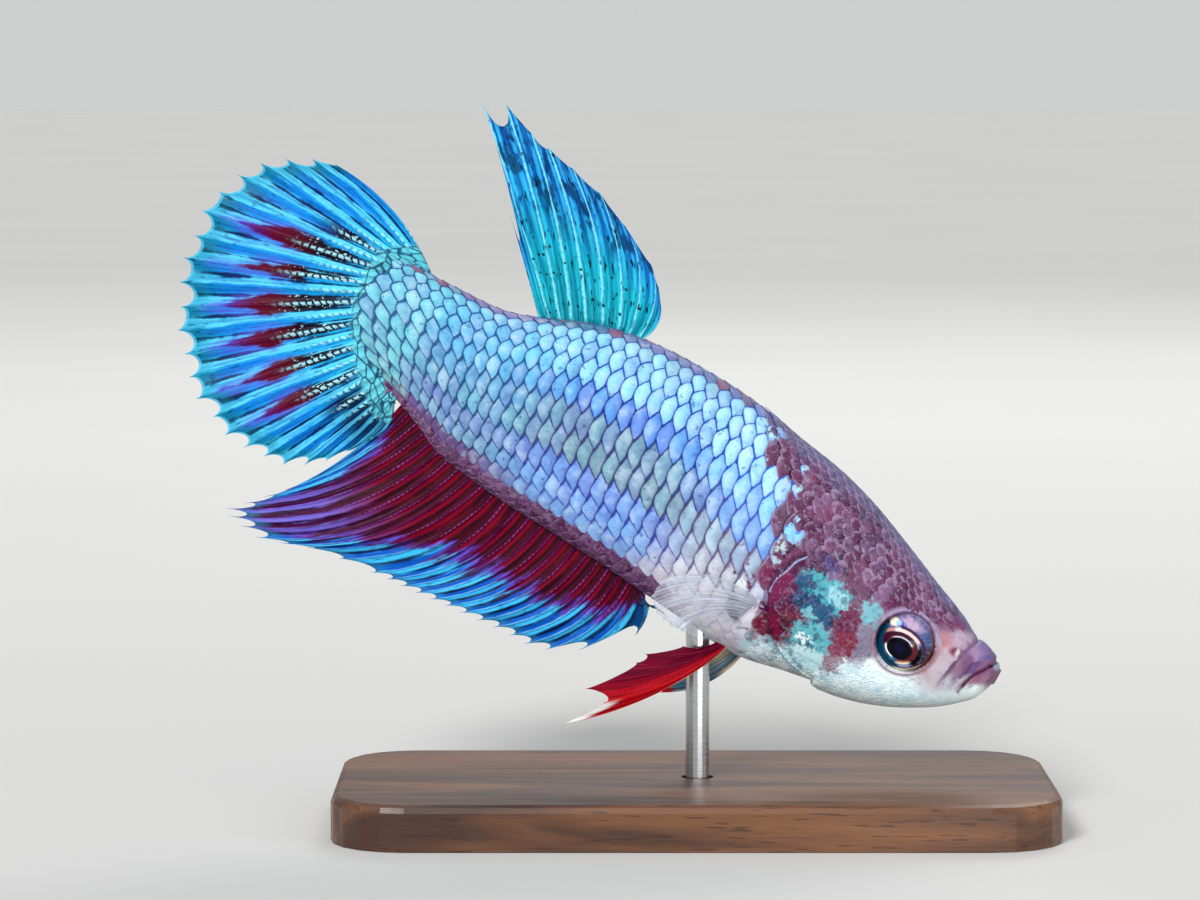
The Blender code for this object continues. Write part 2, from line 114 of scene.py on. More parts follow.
@dataclass(frozen=True)
class BodyForm:
    """Outline and sections of the body, the same as the solids'."""

    snout_x: float = 20.3
    snout_z: float = 10.6
    nose_down: float = math.radians(28.66)
    head_turn: float = 0.9
    head_turn_end: float = 14.0
    tail_swing: float = 1.8
    tail_swing_start: float = 22.0
    tail_swing_span: float = 24.0
    first: float = -0.15
    last: float = 45.6
    bulge: float = 2.0
    bulge_start: float = 41.0
    power: float = 0.92
    stations: Table = (
        (-0.15, 0, -0.15, -1.25, 0.55), (0.3, 0.05, 0.35, -2.35, 1.25), (1.2, 0.05, 0.8, -3.42, 1.75),
        (2.2, 0, 1.02, -4.3, 2.15), (3.6, 0, 1.8, -5.18, 2.55), (6.3, 0, 2.98, -6.45, 3.05),
        (9.2, 0, 4.25, -7.17, 3.5), (12.4, 0, 5.55, -7.45, 3.85), (15.6, 0, 6.5, -7.92, 4.02),
        (18.9, 0, 7.1, -7.75, 4.05), (22.5, 0, 7.85, -7.38, 3.92), (26.5, 0, 8.15, -6.98, 3.62),
        (30.5, 0, 8.05, -6.7, 3.2), (34, 0, 7.45, -6.5, 2.75), (37, 0, 6.3, -6.2, 2.35),
        (40, 0.3, 5.15, -5.75, 1.95), (42.5, 1, 4.93, -4.9, 1.5), (45.6, 1.85, 4.85, -4, 0.6))

    def section(self, along: Array) -> tuple[Array, Array, Array, Array]:
        """Lean, middle, half height and half width of the body.

        Args:
            along: Places along the body.

        Returns:
            Lean, middle, half height and half width at each place.
        """
        table = np.array(self.stations)
        places, values = table[:, 0], table[:, 1:]
        slopes = np.gradient(values, places, axis=0)
        i = np.clip(np.searchsorted(places, along) - 1, 0, len(places) - 2)
        step = (places[i + 1] - places[i])[..., None]
        t = np.clip((along - places[i])[..., None] / step, 0, 1)
        found = glide(values[i], values[i + 1], slopes[i], slopes[i + 1], t, step)
        lean, back, belly, width = np.moveaxis(found, -1, 0)
        return lean, (back + belly) / 2, (back - belly) / 2, width

    def swing(self, along: Array) -> Array:
        """Sideways offset of the middle plane.

        Args:
            along: Places along the body.

        Returns:
            Offset in millimetres.
        """
        head = np.clip((self.head_turn_end - along) / self.head_turn_end, 0, None)
        tail = np.clip((along - self.tail_swing_start) / self.tail_swing_span, 0, None)
        return self.tail_swing * tail**2 - self.head_turn * head**2

    def lie(self, along: Array, turn: Array, grow: Array | float = 0.0) -> Array:
        """Place on the body's surface, in the fish's own frame.

        Args:
            along: Ring places.
            turn: Angles round the body.
            grow: How far outside the surface, in millimetres.

        Returns:
            Rows of along, rise and side.
        """
        lean, middle, half, width = self.section(along)
        side = np.sin(turn)
        late = np.clip(along - self.bulge_start, 0, None) / (self.last - self.bulge_start)
        shift = lean * np.cos(turn) + self.bulge * late**2 * side**2
        out = np.sign(side) * np.abs(side) ** self.power * (width + grow)
        out *= np.clip(1 - 0.6 * (along - self.last), 0.35, 1)
        return np.stack([along + shift, middle + (half + grow) * np.cos(turn), out], -1)

    def world(self, lie: Array) -> Array:
        """Points in millimetres in the frame of the solids.

        Args:
            lie: Rows of along, rise and side.

        Returns:
            Rows of x, y and z.
        """
        along, rise, side = np.moveaxis(lie, -1, 0)
        cos, sin = math.cos(self.nose_down), math.sin(self.nose_down)
        return np.stack([self.snout_x - along * cos + rise * sin, side + self.swing(along),
                         self.snout_z + along * sin + rise * cos], -1)

    def swing_at(self, x: Array, z: Array) -> Array:
        """Sideways offset of the middle plane at points of the side view."""
        return self.swing((self.snout_x - x) * math.cos(self.nose_down)
                          + (z - self.snout_z) * math.sin(self.nose_down))


class Trail:
    """Smooth line drawn on the side of the head, with a distance to it."""

    def __init__(self, corners: Sequence[tuple[float, float]], steps: int = 6) -> None:
        """Smooth the line through its corners.

        Args:
            corners: Places of along and rise.
            steps: Pieces between two corners.
        """
        points = np.array(corners, float)
        slopes = np.gradient(points, axis=0)
        t = np.linspace(0, 1, steps, endpoint=False)[:, None]
        pieces = [glide(*ends, t) for ends in zip(points, points[1:], slopes, slopes[1:])]
        self.points = np.vstack([*pieces, points[-1:]])

    def reach(self, lie: Array) -> tuple[Array, Array, Array]:
        """Distance to the line.

        Args:
            lie: Rows of along, rise and side.

        Returns:
            Distance, the side of the line as a sign, and the share run along the line.
        """
        best = np.full(lie.shape[:-1], 1e9)
        sign = np.ones_like(best)
        share = np.zeros_like(best)
        count = len(self.points) - 1
        for i, (start, end) in enumerate(zip(self.points, self.points[1:])):
            arm = end - start
            offset = lie[..., :2] - start
            t = np.clip(offset @ arm / (arm @ arm), 0, 1)
            gap = offset - t[..., None] * arm
            distance = np.hypot(gap[..., 0], gap[..., 1])
            nearer = distance < best
            best = np.where(nearer, distance, best)
            cross = arm[0] * offset[..., 1] - arm[1] * offset[..., 0]
            sign = np.where(nearer, np.sign(cross), sign)
            share = np.where(nearer, (i + t) / count, share)
        return best, sign, share


@dataclass(frozen=True)
class Groove:
    """Line pressed into, or raised from, the skin."""

    corners: Table
    depth: float
    width: float

    def offset(self, lie: Array) -> Array:
        """Outward offset that the line gives.

        Args:
            lie: Rows of along, rise and side.

        Returns:
            Offset in millimetres, below 0 in a groove.
        """
        gap, _, share = Trail(self.corners).reach(lie)
        ends = ease(share, -0.02, 0.12) * (1 - ease(share, 0.86, 1))
        return -self.depth * np.exp(-((gap / self.width) ** 2)) * ends


@dataclass(frozen=True)
class Swelling:
    """Soft mound or pit on the head."""

    along: float
    rise: float
    half_along: float
    half_rise: float
    height: float
    tilt: float = 0.0

    def offset(self, lie: Array) -> Array:
        """Outward offset that the mound gives.

        Args:
            lie: Rows of along, rise and side.

        Returns:
            Offset in millimetres.
        """
        turn = math.radians(self.tilt)
        a, r = lie[..., 0] - self.along, lie[..., 1] - self.rise
        u = (a * math.cos(turn) + r * math.sin(turn)) / self.half_along
        v = (r * math.cos(turn) - a * math.sin(turn)) / self.half_rise
        return self.height * np.exp(-(u**2 + v**2))


@dataclass(frozen=True)
class HeadRelief:
    """Lips, folds, eye sockets and gill covers, as offsets from the plain body."""

    eye_along: float = 6.55
    eye_rise: float = -1.42
    eye_radius: float = 1.95
    socket_depth: float = 0.95
    cover_step: float = 0.16
    gape: Table = (
        (-0.5, 1.25), (0.1, 0.55), (0.66, -0.2), (1.03, -0.74), (1.38, -1.2), (1.62, -1.8),
        (1.79, -2.74))
    cover_edge: Table = (
        (15.15, 0.45), (15.6, -0.1), (15.87, -0.98), (16.14, -1.5), (16.26, -2.1), (16.2, -2.65),
        (15.95, -3.35), (15.2, -4.6), (14.2, -5.55), (12.6, -6.35), (10.5, -7))
    grooves: tuple[Groove, ...] = (
        Groove(((1.03, 0.1), (1.38, -0.55), (1.66, -1.2), (1.97, -1.95)), 0.09, 0.09),
        Groove(((1.95, 1.25), (2.2, 0.65), (2.56, 0.05), (2.79, -0.74), (2.91, -1.8), (2.97, -2.7)), 0.16,
               0.12), Groove(((2.6, 0.7), (2.95, 0.1), (3.15, -0.8)), 0.06, 0.1),
        Groove(((6.3, 0.75), (5.6, 0.42), (4.95, 0.06), (4.2, -0.4)), -0.1, 0.11),
        Groove(((6, 0.86), (5.25, 0.48), (4.5, 0), (3.95, -0.35)), 0.1, 0.1),
        Groove(((13.55, -3.4), (13.5, -4.2), (13.05, -4.85), (12.3, -5.2)), 0.12, 0.13),
        Groove(((14.2, -5.05), (12.9, -5.85), (11.6, -6.35), (10.6, -6.6)), 0.05, 0.07),
        Groove(((14.3, -5.25), (12.8, -6.05), (11.5, -6.5), (10.5, -6.78)), 0.05, 0.07),
        Groove(((10.95, -1.3), (11.05, -2.6), (10.9, -3.8), (10.55, -4.9), (10.15, -6)), 0.05, 0.12))
    swellings: tuple[Swelling, ...] = (
        Swelling(1.55, 0.2, 0.75, 0.65, 0.1, -40), Swelling(0.35, -1, 0.8, 0.5, 0.07, -62),
        Swelling(2.15, -1.55, 0.35, 0.95, 0.08, 0), Swelling(3.35, -0.42, 0.16, 0.13, -0.3, -40),
        Swelling(3.35, -0.42, 0.34, 0.28, 0.05, -40), Swelling(7.2, -5.2, 2.6, 0.9, 0.05, -10))
    nape_notch: tuple[float, float, float] = (10.45, 0.26, 2.6)

    def eye_gap(self, lie: Array) -> Array:
        """Distance from the eye's centre in the side view."""
        return np.hypot(lie[..., 0] - self.eye_along, lie[..., 1] - self.eye_rise)

    def offset(self, lie: Array) -> Array:
        """Outward offset of the skin from the plain body.

        Args:
            lie: Rows of along, rise and side.

        Returns:
            Offset in millimetres.
        """
        total = sum(item.offset(lie) for item in (*self.grooves, *self.swellings))
        gap, sign, share = Trail(self.gape).reach(lie)
        corner = 1 - ease(share, 0.88, 1)
        total -= 0.3 * np.exp(-((gap / 0.09) ** 2)) * corner
        total += 0.06 * np.exp(-(((gap - 0.28) / 0.18) ** 2)) * corner
        far, side, run = Trail(self.cover_edge).reach(lie)
        fade = ease(run, 0, 0.12)
        outer = np.where(side > 0, -np.exp(-far / 0.45), np.exp(-far / 1.1))
        total += self.cover_step * outer * fade * (far < 4)
        around = self.eye_gap(lie)
        reach = self.eye_radius
        total -= self.socket_depth * (1 - ease(around, reach - 0.06, reach + 0.1))
        total += 0.08 * np.exp(-(((around - reach - 0.16) / 0.08) ** 2))
        total -= 0.05 * np.exp(-(((around - reach - 0.36) / 0.09) ** 2))
        lower = ease(self.eye_rise + 0.6 - lie[..., 1], 0, 0.8)
        total += 0.04 * np.exp(-(((around - reach - 0.5) / 0.08) ** 2)) * lower
        place, depth, length = self.nape_notch
        under = ease(-lie[..., 1], 6.2, 7)
        behind = ease(lie[..., 0], place - 0.08, place + 0.1)
        total -= depth * under * behind * np.exp(-np.clip(lie[..., 0] - place, 0, None) / length)
        return total


# --- Meshes


def new_object(name: str, data: bpy.types.ID) -> Object:
    """Object in the scene for a mesh, a camera or a light.

    Args:
        name: Piece name.
        data: What it shows.

    Returns:
        The object, at the origin.
    """
    made = bpy.data.objects.new(name, data)
    bpy.context.scene.collection.objects.link(made)
    return made


def set_points(mesh: Mesh, points: Array) -> None:
    """Put a mesh's vertices at points given in millimetres."""
    mesh.vertices.foreach_set("co", (points * MM).astype(np.float32).ravel())
    mesh.update()


def get_points(mesh: Mesh) -> Array:
    """Vertices of a mesh.

    Args:
        mesh: The mesh.

    Returns:
        Rows of x, y and z.
    """
    flat = np.zeros(len(mesh.vertices) * 3, np.float32)
    mesh.vertices.foreach_get("co", flat)
    return flat.reshape(-1, 3).astype(float)


def add_vectors(mesh: Mesh, name: str, values: Array) -> None:
    """Store a vector on each vertex for the materials to read."""
    layer = mesh.attributes.new(name, "FLOAT_VECTOR", "POINT")
    layer.data.foreach_set("vector", values.astype(np.float32).ravel())


def add_map(mesh: Mesh, name: str, places: Array) -> None:
    """Store a map on the corners of a mesh.

    Args:
        mesh: The mesh.
        name: Name of the map.
        places: Map places by vertex.
    """
    corners = np.zeros(len(mesh.loops), np.int32)
    mesh.loops.foreach_get("vertex_index", corners)
    layer = mesh.uv_layers.new(name=name)
    layer.data.foreach_set("uv", places[corners].astype(np.float32).ravel())


def sheet_mesh(name: str, across: int, rows: int) -> tuple[Mesh, Array]:
    """Flat grid to be shaped.

    Args:
        name: Mesh name.
        across: Faces across.
        rows: Faces along.

    Returns:
        The mesh and its grid places, 0 to 1 both ways.
    """
    data = bmesh.new()
    bmesh.ops.create_grid(data, x_segments=across, y_segments=rows, size=0.5)
    mesh = to_mesh(data, name)
    return mesh, np.clip(get_points(mesh)[:, :2] + 0.5, 0, 1)


def to_mesh(data: bmesh.types.BMesh, name: str) -> Mesh:
    """New mesh of finished data, which is let go.

    Args:
        data: The data.
        name: Mesh name.

    Returns:
        The mesh.
    """
    mesh = bpy.data.meshes.new(name)
    data.to_mesh(mesh)
    data.free()
    return mesh


def close_up(mesh: Mesh, distance: float = 2e-6, sharp: float = 60.0) -> None:
    """Merge the seams of a shaped grid, turn its faces outwards and smooth its shading.

    Args:
        mesh: Mesh in metres.
        distance: How close merged vertices are, in metres.
        sharp: Angle in degrees past which an edge stays sharp.
    """
    data = bmesh.new()
    data.from_mesh(mesh)
    bmesh.ops.remove_doubles(data, verts=data.verts, dist=distance)
    bmesh.ops.dissolve_degenerate(data, edges=data.edges, dist=1e-8)
    bmesh.ops.recalc_face_normals(data, faces=data.faces)
    data.to_mesh(mesh)
    data.free()
    mesh.shade_smooth()
    mesh.set_sharp_from_angle(angle=math.radians(sharp))


# --- Shader building


@dataclass(frozen=True, eq=False)
class Signal:
    """Output of a node, on which plain arithmetic lays further nodes."""

    bench: "Bench"
    socket: bpy.types.NodeSocket

    def lay(self, operation: str, first: object, second: object) -> "Signal":
        """Math node of the kind that suits two numbers or two vectors.

        Args:
            operation: What it works out.
            first: Number, vector or signal.
            second: Number, vector or signal.

        Returns:
            The result.
        """
        pair = [
            part.socket.type if isinstance(part, Signal) else type(part) for part in (first, second)
        ]
        way = self.bench.vector if "VECTOR" in pair or tuple in pair else self.bench.math
        return way(operation, first, second)

    def __add__(self, other: object) -> "Signal":
        """This and another added."""
        return self.lay("ADD", self, other)

    def __sub__(self, other: object) -> "Signal":
        """This less another."""
        return self.lay("SUBTRACT", self, other)

    def __rsub__(self, other: object) -> "Signal":
        """Another less this."""
        return self.lay("SUBTRACT", other, self)

    def __mul__(self, other: object) -> "Signal":
        """This times another."""
        return self.lay("MULTIPLY", self, other)

    def __truediv__(self, other: object) -> "Signal":
        """This over another."""
        return self.lay("DIVIDE", self, other)

    def __or__(self, other: object) -> "Signal":
        """The larger of this and another."""
        return self.lay("MAXIMUM", self, other)

    def __abs__(self) -> "Signal":
        """This without its sign."""
        return self.bench.math("ABSOLUTE", self)

    def step(self, low: object, high: object, start: float = 0.0, end: object = 1.0) -> "Signal":
        """Smooth step of this number."""
        made = self.bench.node("ShaderNodeMapRange", interpolation_type="SMOOTHSTEP")
        return self.bench.lay(made, (self, low, high, start, end))

    def blend(self, factor: object, other: object, mode: str = "MIX") -> "Signal":
        """This colour mixed with another by a factor."""
        return self.bench.blend(factor, self, other, mode)

    def under(self, *layers: tuple[object, object]) -> "Signal":
        """This colour under layers, each a mask and a colour."""
        colour = self
        for mask, other in layers:
            colour = colour.blend(mask, other)
        return colour


Paint = Union[Signal, tuple[float, ...], int]
Number = Union[Signal, float]


class Bench:
    """Lays out the nodes of one shader tree."""

    def __init__(self, tree: Tree, sink: bpy.types.Node | None = None) -> None:
        """Work in a tree whose results go to one node."""
        self.tree, self.sink = tree, sink

    def node(self, kind: str, **settings: object) -> bpy.types.Node:
        """Add a node.

        Args:
            kind: Its type.
            **settings: Its properties.

        Returns:
            The node.
        """
        made = self.tree.nodes.new(kind)
        for name, value in settings.items():
            setattr(made, name, value)
        return made

    def put(self, target: bpy.types.NodeSocket, value: object) -> None:
        """Link a signal to a socket, or set the socket's value.

        Args:
            target: The socket.
            value: Signal or value, None to leave it as it is.
        """
        if isinstance(value, Signal):
            self.tree.links.new(value.socket, target)
        elif value is not None:
            target.default_value = value

    def give(self, name: str, value: object) -> None:
        """Set an input of the node that the results go to."""
        self.put(self.sink.inputs[name], value)

    def lay(self, made: bpy.types.Node, values: Iterable[object], output: int | str = 0) -> Signal:
        """Fill a node's inputs in their order.

        Args:
            made: The node.
            values: Numbers, colours, vectors or signals, None for an input left as it is.
            output: Output to take.

        Returns:
            The node's result.
        """
        for target, value in zip(made.inputs, values):
            self.put(target, value)
        return Signal(self, made.outputs[output])

    def math(self, operation: str, *numbers: Number, clamp: bool = False) -> Signal:
        """Math on numbers, clamped to 0 and 1 or not."""
        made = self.node("ShaderNodeMath", operation=operation, use_clamp=clamp)
        return self.lay(made, numbers)

    def vector(self, operation: str, first: object, second: object = None) -> Signal:
        """Math on vectors, which gives a number for a length."""
        made = self.node("ShaderNodeVectorMath", operation=operation)
        return self.lay(made, (first, second), "Value" if operation == "LENGTH" else "Vector")

    def parts(self, vector: Signal) -> tuple[Signal, ...]:
        """The three numbers of a vector."""
        made = self.lay(self.node("ShaderNodeSeparateXYZ"), (vector,)).socket.node
        return tuple(Signal(self, socket) for socket in made.outputs)

    def join(self, x: Number, y: Number, z: Number = 0.0) -> Signal:
        """A vector of three numbers."""
        return self.lay(self.node("ShaderNodeCombineXYZ"), (x, y, z))

    def blend(self, factor: Number, first: Paint, second: Paint, mode: str = "MIX") -> Signal:
        """Mix two colours."""
        made = self.node("ShaderNodeMix", data_type="RGBA", blend_type=mode)
        return self.lay(made, (factor, *(None,) * 5, paint(first), paint(second)), 2)

    def ramp(self, factor: Number, stops: dict[float, Paint]) -> Signal:
        """Colour that runs through stops.

        Args:
            factor: Where to read it, 0 to 1.
            stops: Colours by their places.

        Returns:
            The colour.
        """
        made = self.node("ShaderNodeValToRGB")
        elements = made.color_ramp.elements
        while len(elements) < len(stops):
            elements.new(0.5)
        for element, (place, colour) in zip(elements, stops.items()):
            element.position = place
            element.color = paint(colour)
        return self.lay(made, (factor,))

    def noise(self, place: Signal, scale: float, detail: float = 2.0, rough: float = 0.5,
              warp: float = 0.0, output: str = "Fac") -> Signal:
        """Noise on a place. Its output is Fac for a number or Color for a vector."""
        values = (place, None, scale, detail, rough, None, None, None, warp)
        return self.lay(self.node("ShaderNodeTexNoise"), values, output)

    def cells(self, place: Signal, scale: float, feature: str = "F1") -> Signal:
        """Distance in a cell pattern."""
        made = self.node("ShaderNodeTexVoronoi", feature=feature)
        return self.lay(made, (place, None, scale), "Distance")

    def read(self, name: str) -> Signal:
        """Vector stored on the piece."""
        made = self.node("ShaderNodeAttribute", attribute_type="GEOMETRY", attribute_name=name)
        return Signal(self, made.outputs["Vector"])

    def own_place(self) -> Signal:
        """Place on the piece in its own metres."""
        return Signal(self, self.node("ShaderNodeTexCoord").outputs["Object"])

    def bump(self, height: Signal, strength: float, distance: float) -> None:
        """Give the shader a bump of a height in metres, of which a share shows."""
        values = (strength, distance, None, height)
        self.give("Normal", self.lay(self.node("ShaderNodeBump"), values))

    def group(self, tree: Tree, **values: object) -> SimpleNamespace:
        """Place a shader group.

        Args:
            tree: The group.
            **values: Its inputs by name.

        Returns:
            Its outputs by name in small letters.
        """
        made = self.node("ShaderNodeGroup", node_tree=tree)
        for name, value in values.items():
            self.put(made.inputs[name], value)
        return SimpleNamespace(**{out.name.lower(): Signal(self, out) for out in made.outputs})


class Kind(Enum):
    """Kinds of group socket."""

    NUMBER = "NodeSocketFloat"
    VECTOR = "NodeSocketVector"
    COLOUR = "NodeSocketColor"


class Group:
    """Shader group with named inputs and outputs."""

    def __init__(self, name: str, inputs: dict[str, tuple[Kind, object]],
                 outputs: dict[str, Kind]) -> None:
        """Make the group's tree and sockets.

        Args:
            name: Name of the group.
            inputs: Name, kind and default of each input.
            outputs: Name and kind of each output.
        """
        self.tree = bpy.data.node_groups.new(name, "ShaderNodeTree")
        for label, (kind, default) in inputs.items():
            made = self.tree.interface.new_socket(label, in_out="INPUT", socket_type=kind.value)
            made.default_value = default
        for label, kind in outputs.items():
            self.tree.interface.new_socket(label, in_out="OUTPUT", socket_type=kind.value)
        self.bench = Bench(self.tree)
        self.source = self.bench.node("NodeGroupInput")
        self.bench.sink = self.bench.node("NodeGroupOutput")

    def take(self, name: str) -> Signal:
        """Input by name."""
        return Signal(self.bench, self.source.outputs[name])


@dataclass(frozen=True)
class Surface:
    """Constants of a Principled shader."""

    roughness: float = 0.4
    specular: float = 0.5
    coat: float = 0.0
    coat_roughness: float = 0.1
    metallic: float = 0.0

    def material(self, name: str) -> tuple[Material, Bench]:
        """Material with these constants.

        Args:
            name: Its name.

        Returns:
            The material and the bench of its shader.
        """
        made = bpy.data.materials.new(name)
        made.use_nodes = True
        bench = Bench(made.node_tree, made.node_tree.nodes["Principled BSDF"])
        for label, value in (("Roughness", self.roughness), ("Specular IOR Level", self.specular),
                             ("Coat Weight", self.coat), ("Coat Roughness", self.coat_roughness),
                             ("Metallic", self.metallic)):
            bench.give(label, value)
        return made, bench


# --- Markings shared by skin and scales


@dataclass(frozen=True)
class Patch:
    """Coloured area of the head or body, an ellipse with a ragged edge."""

    along: float
    rise: float
    half_along: float
    half_rise: float
    colour: int
    tilt: float = 0.0
    soft: float = 0.25
    strength: float = 1.0


PLUM = 0x48043E
WINE = 0x6C0230
PEARL = 0xE6E2EC
WHITE = 0xEAFCFF
TEAL = 0x004874
TURQUOISE = 0x3EA2B2


@dataclass(frozen=True)
class Markings:
    """Colours of the whole body, read by place. Skin and scales use the same group."""

    head_patches: tuple[Patch, ...] = (
        Patch(2.6, -6.4, 9.5, 4.9, WHITE, -8, 0.1), Patch(13, -7.9, 7.5, 2.2, WHITE, 1, 0.16),
        Patch(9, -2.4, 1.1, 1.9, 0x7C768E, 0, 0.4), Patch(3.9, -1.6, 1.8, 2, 0xB4A6B2, 0, 0.45, 0.95),
        Patch(3.3, 0.5, 0.9, 0.5, 0xB6A2B8, -25, 0.5, 0.8),
        Patch(4.2, 0, 0.6, 0.4, 0xB0707C, 20, 0.7, 0.65),
        Patch(4.45, -1.5, 0.26, 1.2, 0xA0584C, 8, 0.8, 0.7),
        Patch(3.45, -0.45, 0.34, 0.26, 0x7E3450, -20, 0.6, 0.9),
        # Painted highlight: small pale spot at the nostril.
        Patch(3.1, -0.45, 0.14, 0.18, 0xE2D8E0, 0, 0.6, 0.7),
        Patch(3.02, -0.86, 0.12, 0.1, 0xECE6E4, 0, 0.5),
        Patch(3.02, -1.6, 0.18, 1.3, 0x543E6C, 8, 0.6, 0.9),
        Patch(2.72, -1.3, 0.22, 1.5, 0x7C4E68, 6, 0.7, 0.85),
        Patch(2.66, -2.45, 0.4, 0.55, 0xB8BCCA, 10, 0.8, 0.8),
        Patch(2.35, -0.3, 0.4, 0.85, 0x745076, 0, 0.6, 0.9),
        Patch(1.65, 0.25, 0.8, 0.62, 0x806C9C, -10, 0.6),
        Patch(2.05, 0.15, 0.28, 0.4, 0xA88AA4, -20, 0.7, 0.7),
        Patch(2.28, -1.3, 0.3, 1.15, 0x68446C, 8, 0.7, 0.9),
        Patch(1.88, -0.95, 0.15, 0.85, 0x502A54, 22, 0.6, 0.9),
        Patch(1.6, -0.8, 0.12, 0.8, 0x4C5092, 24, 0.6, 0.9),
        Patch(0.98, 0.22, 0.36, 0.18, 0x405698, -30, 0.5, 0.9),
        Patch(0.45, -0.62, 1.05, 0.95, 0x7C5474, -52, 0.6, 0.95),
        Patch(0.75, -1.15, 0.5, 0.2, 0x9C7694, -58, 0.7, 0.8),
        Patch(1.45, -1.62, 0.36, 1.05, 0x7E4864, 28, 0.7, 0.95),
        Patch(0.05, 0.1, 0.42, 0.28, 0x96AAC0, -40, 0.5, 0.9),
        # Painted shade: near-black slit in the mouth opening.
        Patch(0.68, -0.21, 0.17, 0.09, 0x080816, -14, 0.3),
        Patch(13.6, 0.75, 0.9, 0.5, 0x4C3E76, 0, 0.35), Patch(14.8, -2.5, 1.5, 3.6, PLUM, 10, 0.18),
        Patch(16.7, -2, 1.9, 1.5, 0x701C4C, 0, 0.2), Patch(14.9, -4.6, 2.4, 1.15, WINE, -28, 0.22),
        Patch(12.8, -1, 2.2, 1.1, TURQUOISE, 6, 0.14), Patch(11.9, -0.9, 0.95, 0.55, 0x8ECCD6, 24, 0.3),
        Patch(14.5, -1.05, 0.75, 0.55, TEAL, -25, 0.2), Patch(12.9, -2.3, 1.6, 0.82, TEAL, 10, 0.16),
        Patch(13.1, -2.75, 0.5, 0.3, 0x6EB2BC, 0, 0.3), Patch(12.2, -4.3, 1.45, 1.25, 0x56B2C0, 0, 0.2),
        Patch(11.9, -5.6, 1.5, 0.9, 0xBEE2E4, -14, 0.2), Patch(12.65, -4.35, 0.5, 0.3, WHITE, 0, 0.3),
        Patch(12.4, -4.72, 0.62, 0.14, 0x167E92, -16, 0.4),
        Patch(9.6, -0.8, 0.85, 0.75, 0x6AB0BE, -10, 0.22),
        Patch(10.5, -2, 0.85, 1.25, 0x68123E, -6, 0.14), Patch(10.45, -2.3, 0.5, 0.8, 0x5C003A, -6, 0.4),
        Patch(10.1, -3.5, 0.85, 1, 0x761A3A, 20, 0.16),
        Patch(10.2, -4.9, 0.62, 1.2, 0x80304E, -6, 0.22, 0.85))
    flank_patches: tuple[Patch, ...] = (
        Patch(20, -5.6, 4.3, 2.3, PEARL, -6, 0.45), Patch(18, -3.4, 0.42, 0.34, 0xE4ECF0, 0, 0.4),
        Patch(16.9, -4.15, 0.5, 0.62, 0xECEAE2, 0, 0.4), Patch(16.6, 0.25, 0.85, 0.75, 0xB8D0CE, 0, 0.3),
        Patch(35.6, 6.9, 3.6, 0.55, 0x2486A4, -16.5, 0.4, 0.85))

    @staticmethod
    def patch_mask(bench: Bench, place: Signal, patch: Patch) -> Signal:
        """Mask of one patch.

        Args:
            bench: Where it is laid out.
            place: Place as along and rise.
            patch: The patch.

        Returns:
            1 inside and 0 outside.
        """
        mapping = bench.node("ShaderNodeMapping", vector_type="TEXTURE")
        local = bench.lay(mapping, (
            place, (patch.along, patch.rise, 0), (0, 0, math.radians(patch.tilt)),
            (patch.half_along, patch.half_rise, 1)))
        reach = bench.vector("LENGTH", local)
        return reach.step(1 - patch.soft, 1 + patch.soft, patch.strength, 0)

    def group(self) -> Tree:
        """Shader group that gives the body's colour and the colour of its scale edges.

        Returns:
            The group's tree.
        """
        made = Group(
            "body_markings",
            {"Lie": (Kind.VECTOR, (0, 0, 0)), "Row": (Kind.NUMBER, 0.5),
             "Chance": (Kind.NUMBER, 0.5)},
            {"Colour": Kind.COLOUR, "Edge": Kind.COLOUR, "Bare": Kind.NUMBER},
        )
        bench = made.bench
        lie, row, chance = made.take("Lie"), made.take("Row"), made.take("Chance")
        along, rise, _ = bench.parts(lie)
        ragged = bench.noise(lie, 1.9, 4, 0.65)
        shift = (bench.noise(lie, 1.9, 4, 0.65, 0, "Color") - (0.5, 0.5, 0.5)) * (1.9, 1.9, 0)
        fine = bench.noise(lie, 3.6, 2, 0.6, 0, "Color") - (0.5, 0.5, 0.5)
        snout = along.step(4.5, 9, 0.35, 1)
        shift = (shift + fine * (0.75, 0.75, 0)) * bench.join(snout, snout)
        place = lie * (1, 1, 0) + shift

        flank, edge = self.flank(bench, along, row, ragged, chance)
        for patch in self.flank_patches:
            flank = flank.blend(self.patch_mask(bench, place, patch), patch.colour)
        hem = along.step(21.4, 22.4) * row.step(0.765, 0.79)
        flank = flank.blend(hem, bench.blend(chance.step(0.2, 0.9), 0x541A4C, 0x683A6C))
        edge = edge.blend(hem, 0x8E709C)
        seam = bench.cells(place * (0.85, 1.15, 0), 1.6, "DISTANCE_TO_EDGE")
        seam = seam.step(0.03, 0.1, 0.75, 0) * hem
        flank = flank.blend(seam, 0x946E98)

        head = self.head(bench, lie, row, chance)
        for patch in self.head_patches:
            head = head.blend(self.patch_mask(bench, place, patch), patch.colour)
        cheek = along.step(10.6, 11.6) * (rise * 0.25 + along).step(14, 14.8, 1, 0)
        stain = bench.noise(lie + (7, 3, 0), 1.5, 4, 0.7).step(0.5, 0.6, 0, 0.7)
        head = self.flecks(bench, lie, head.blend(stain * cheek, 0x005C7A, "MULTIPLY"))

        border = (rise - 2.6 | 0) * 0.95 + 17.1 - (-0.6 - rise | 0) * 0.12
        where = along + (chance - 0.5) * 4.2 + (ragged - 0.5) * 5.0
        front = (where - border).step(-0.3, 0.3, 1, 0) | along.step(15.6, 16.3, 1, 0)

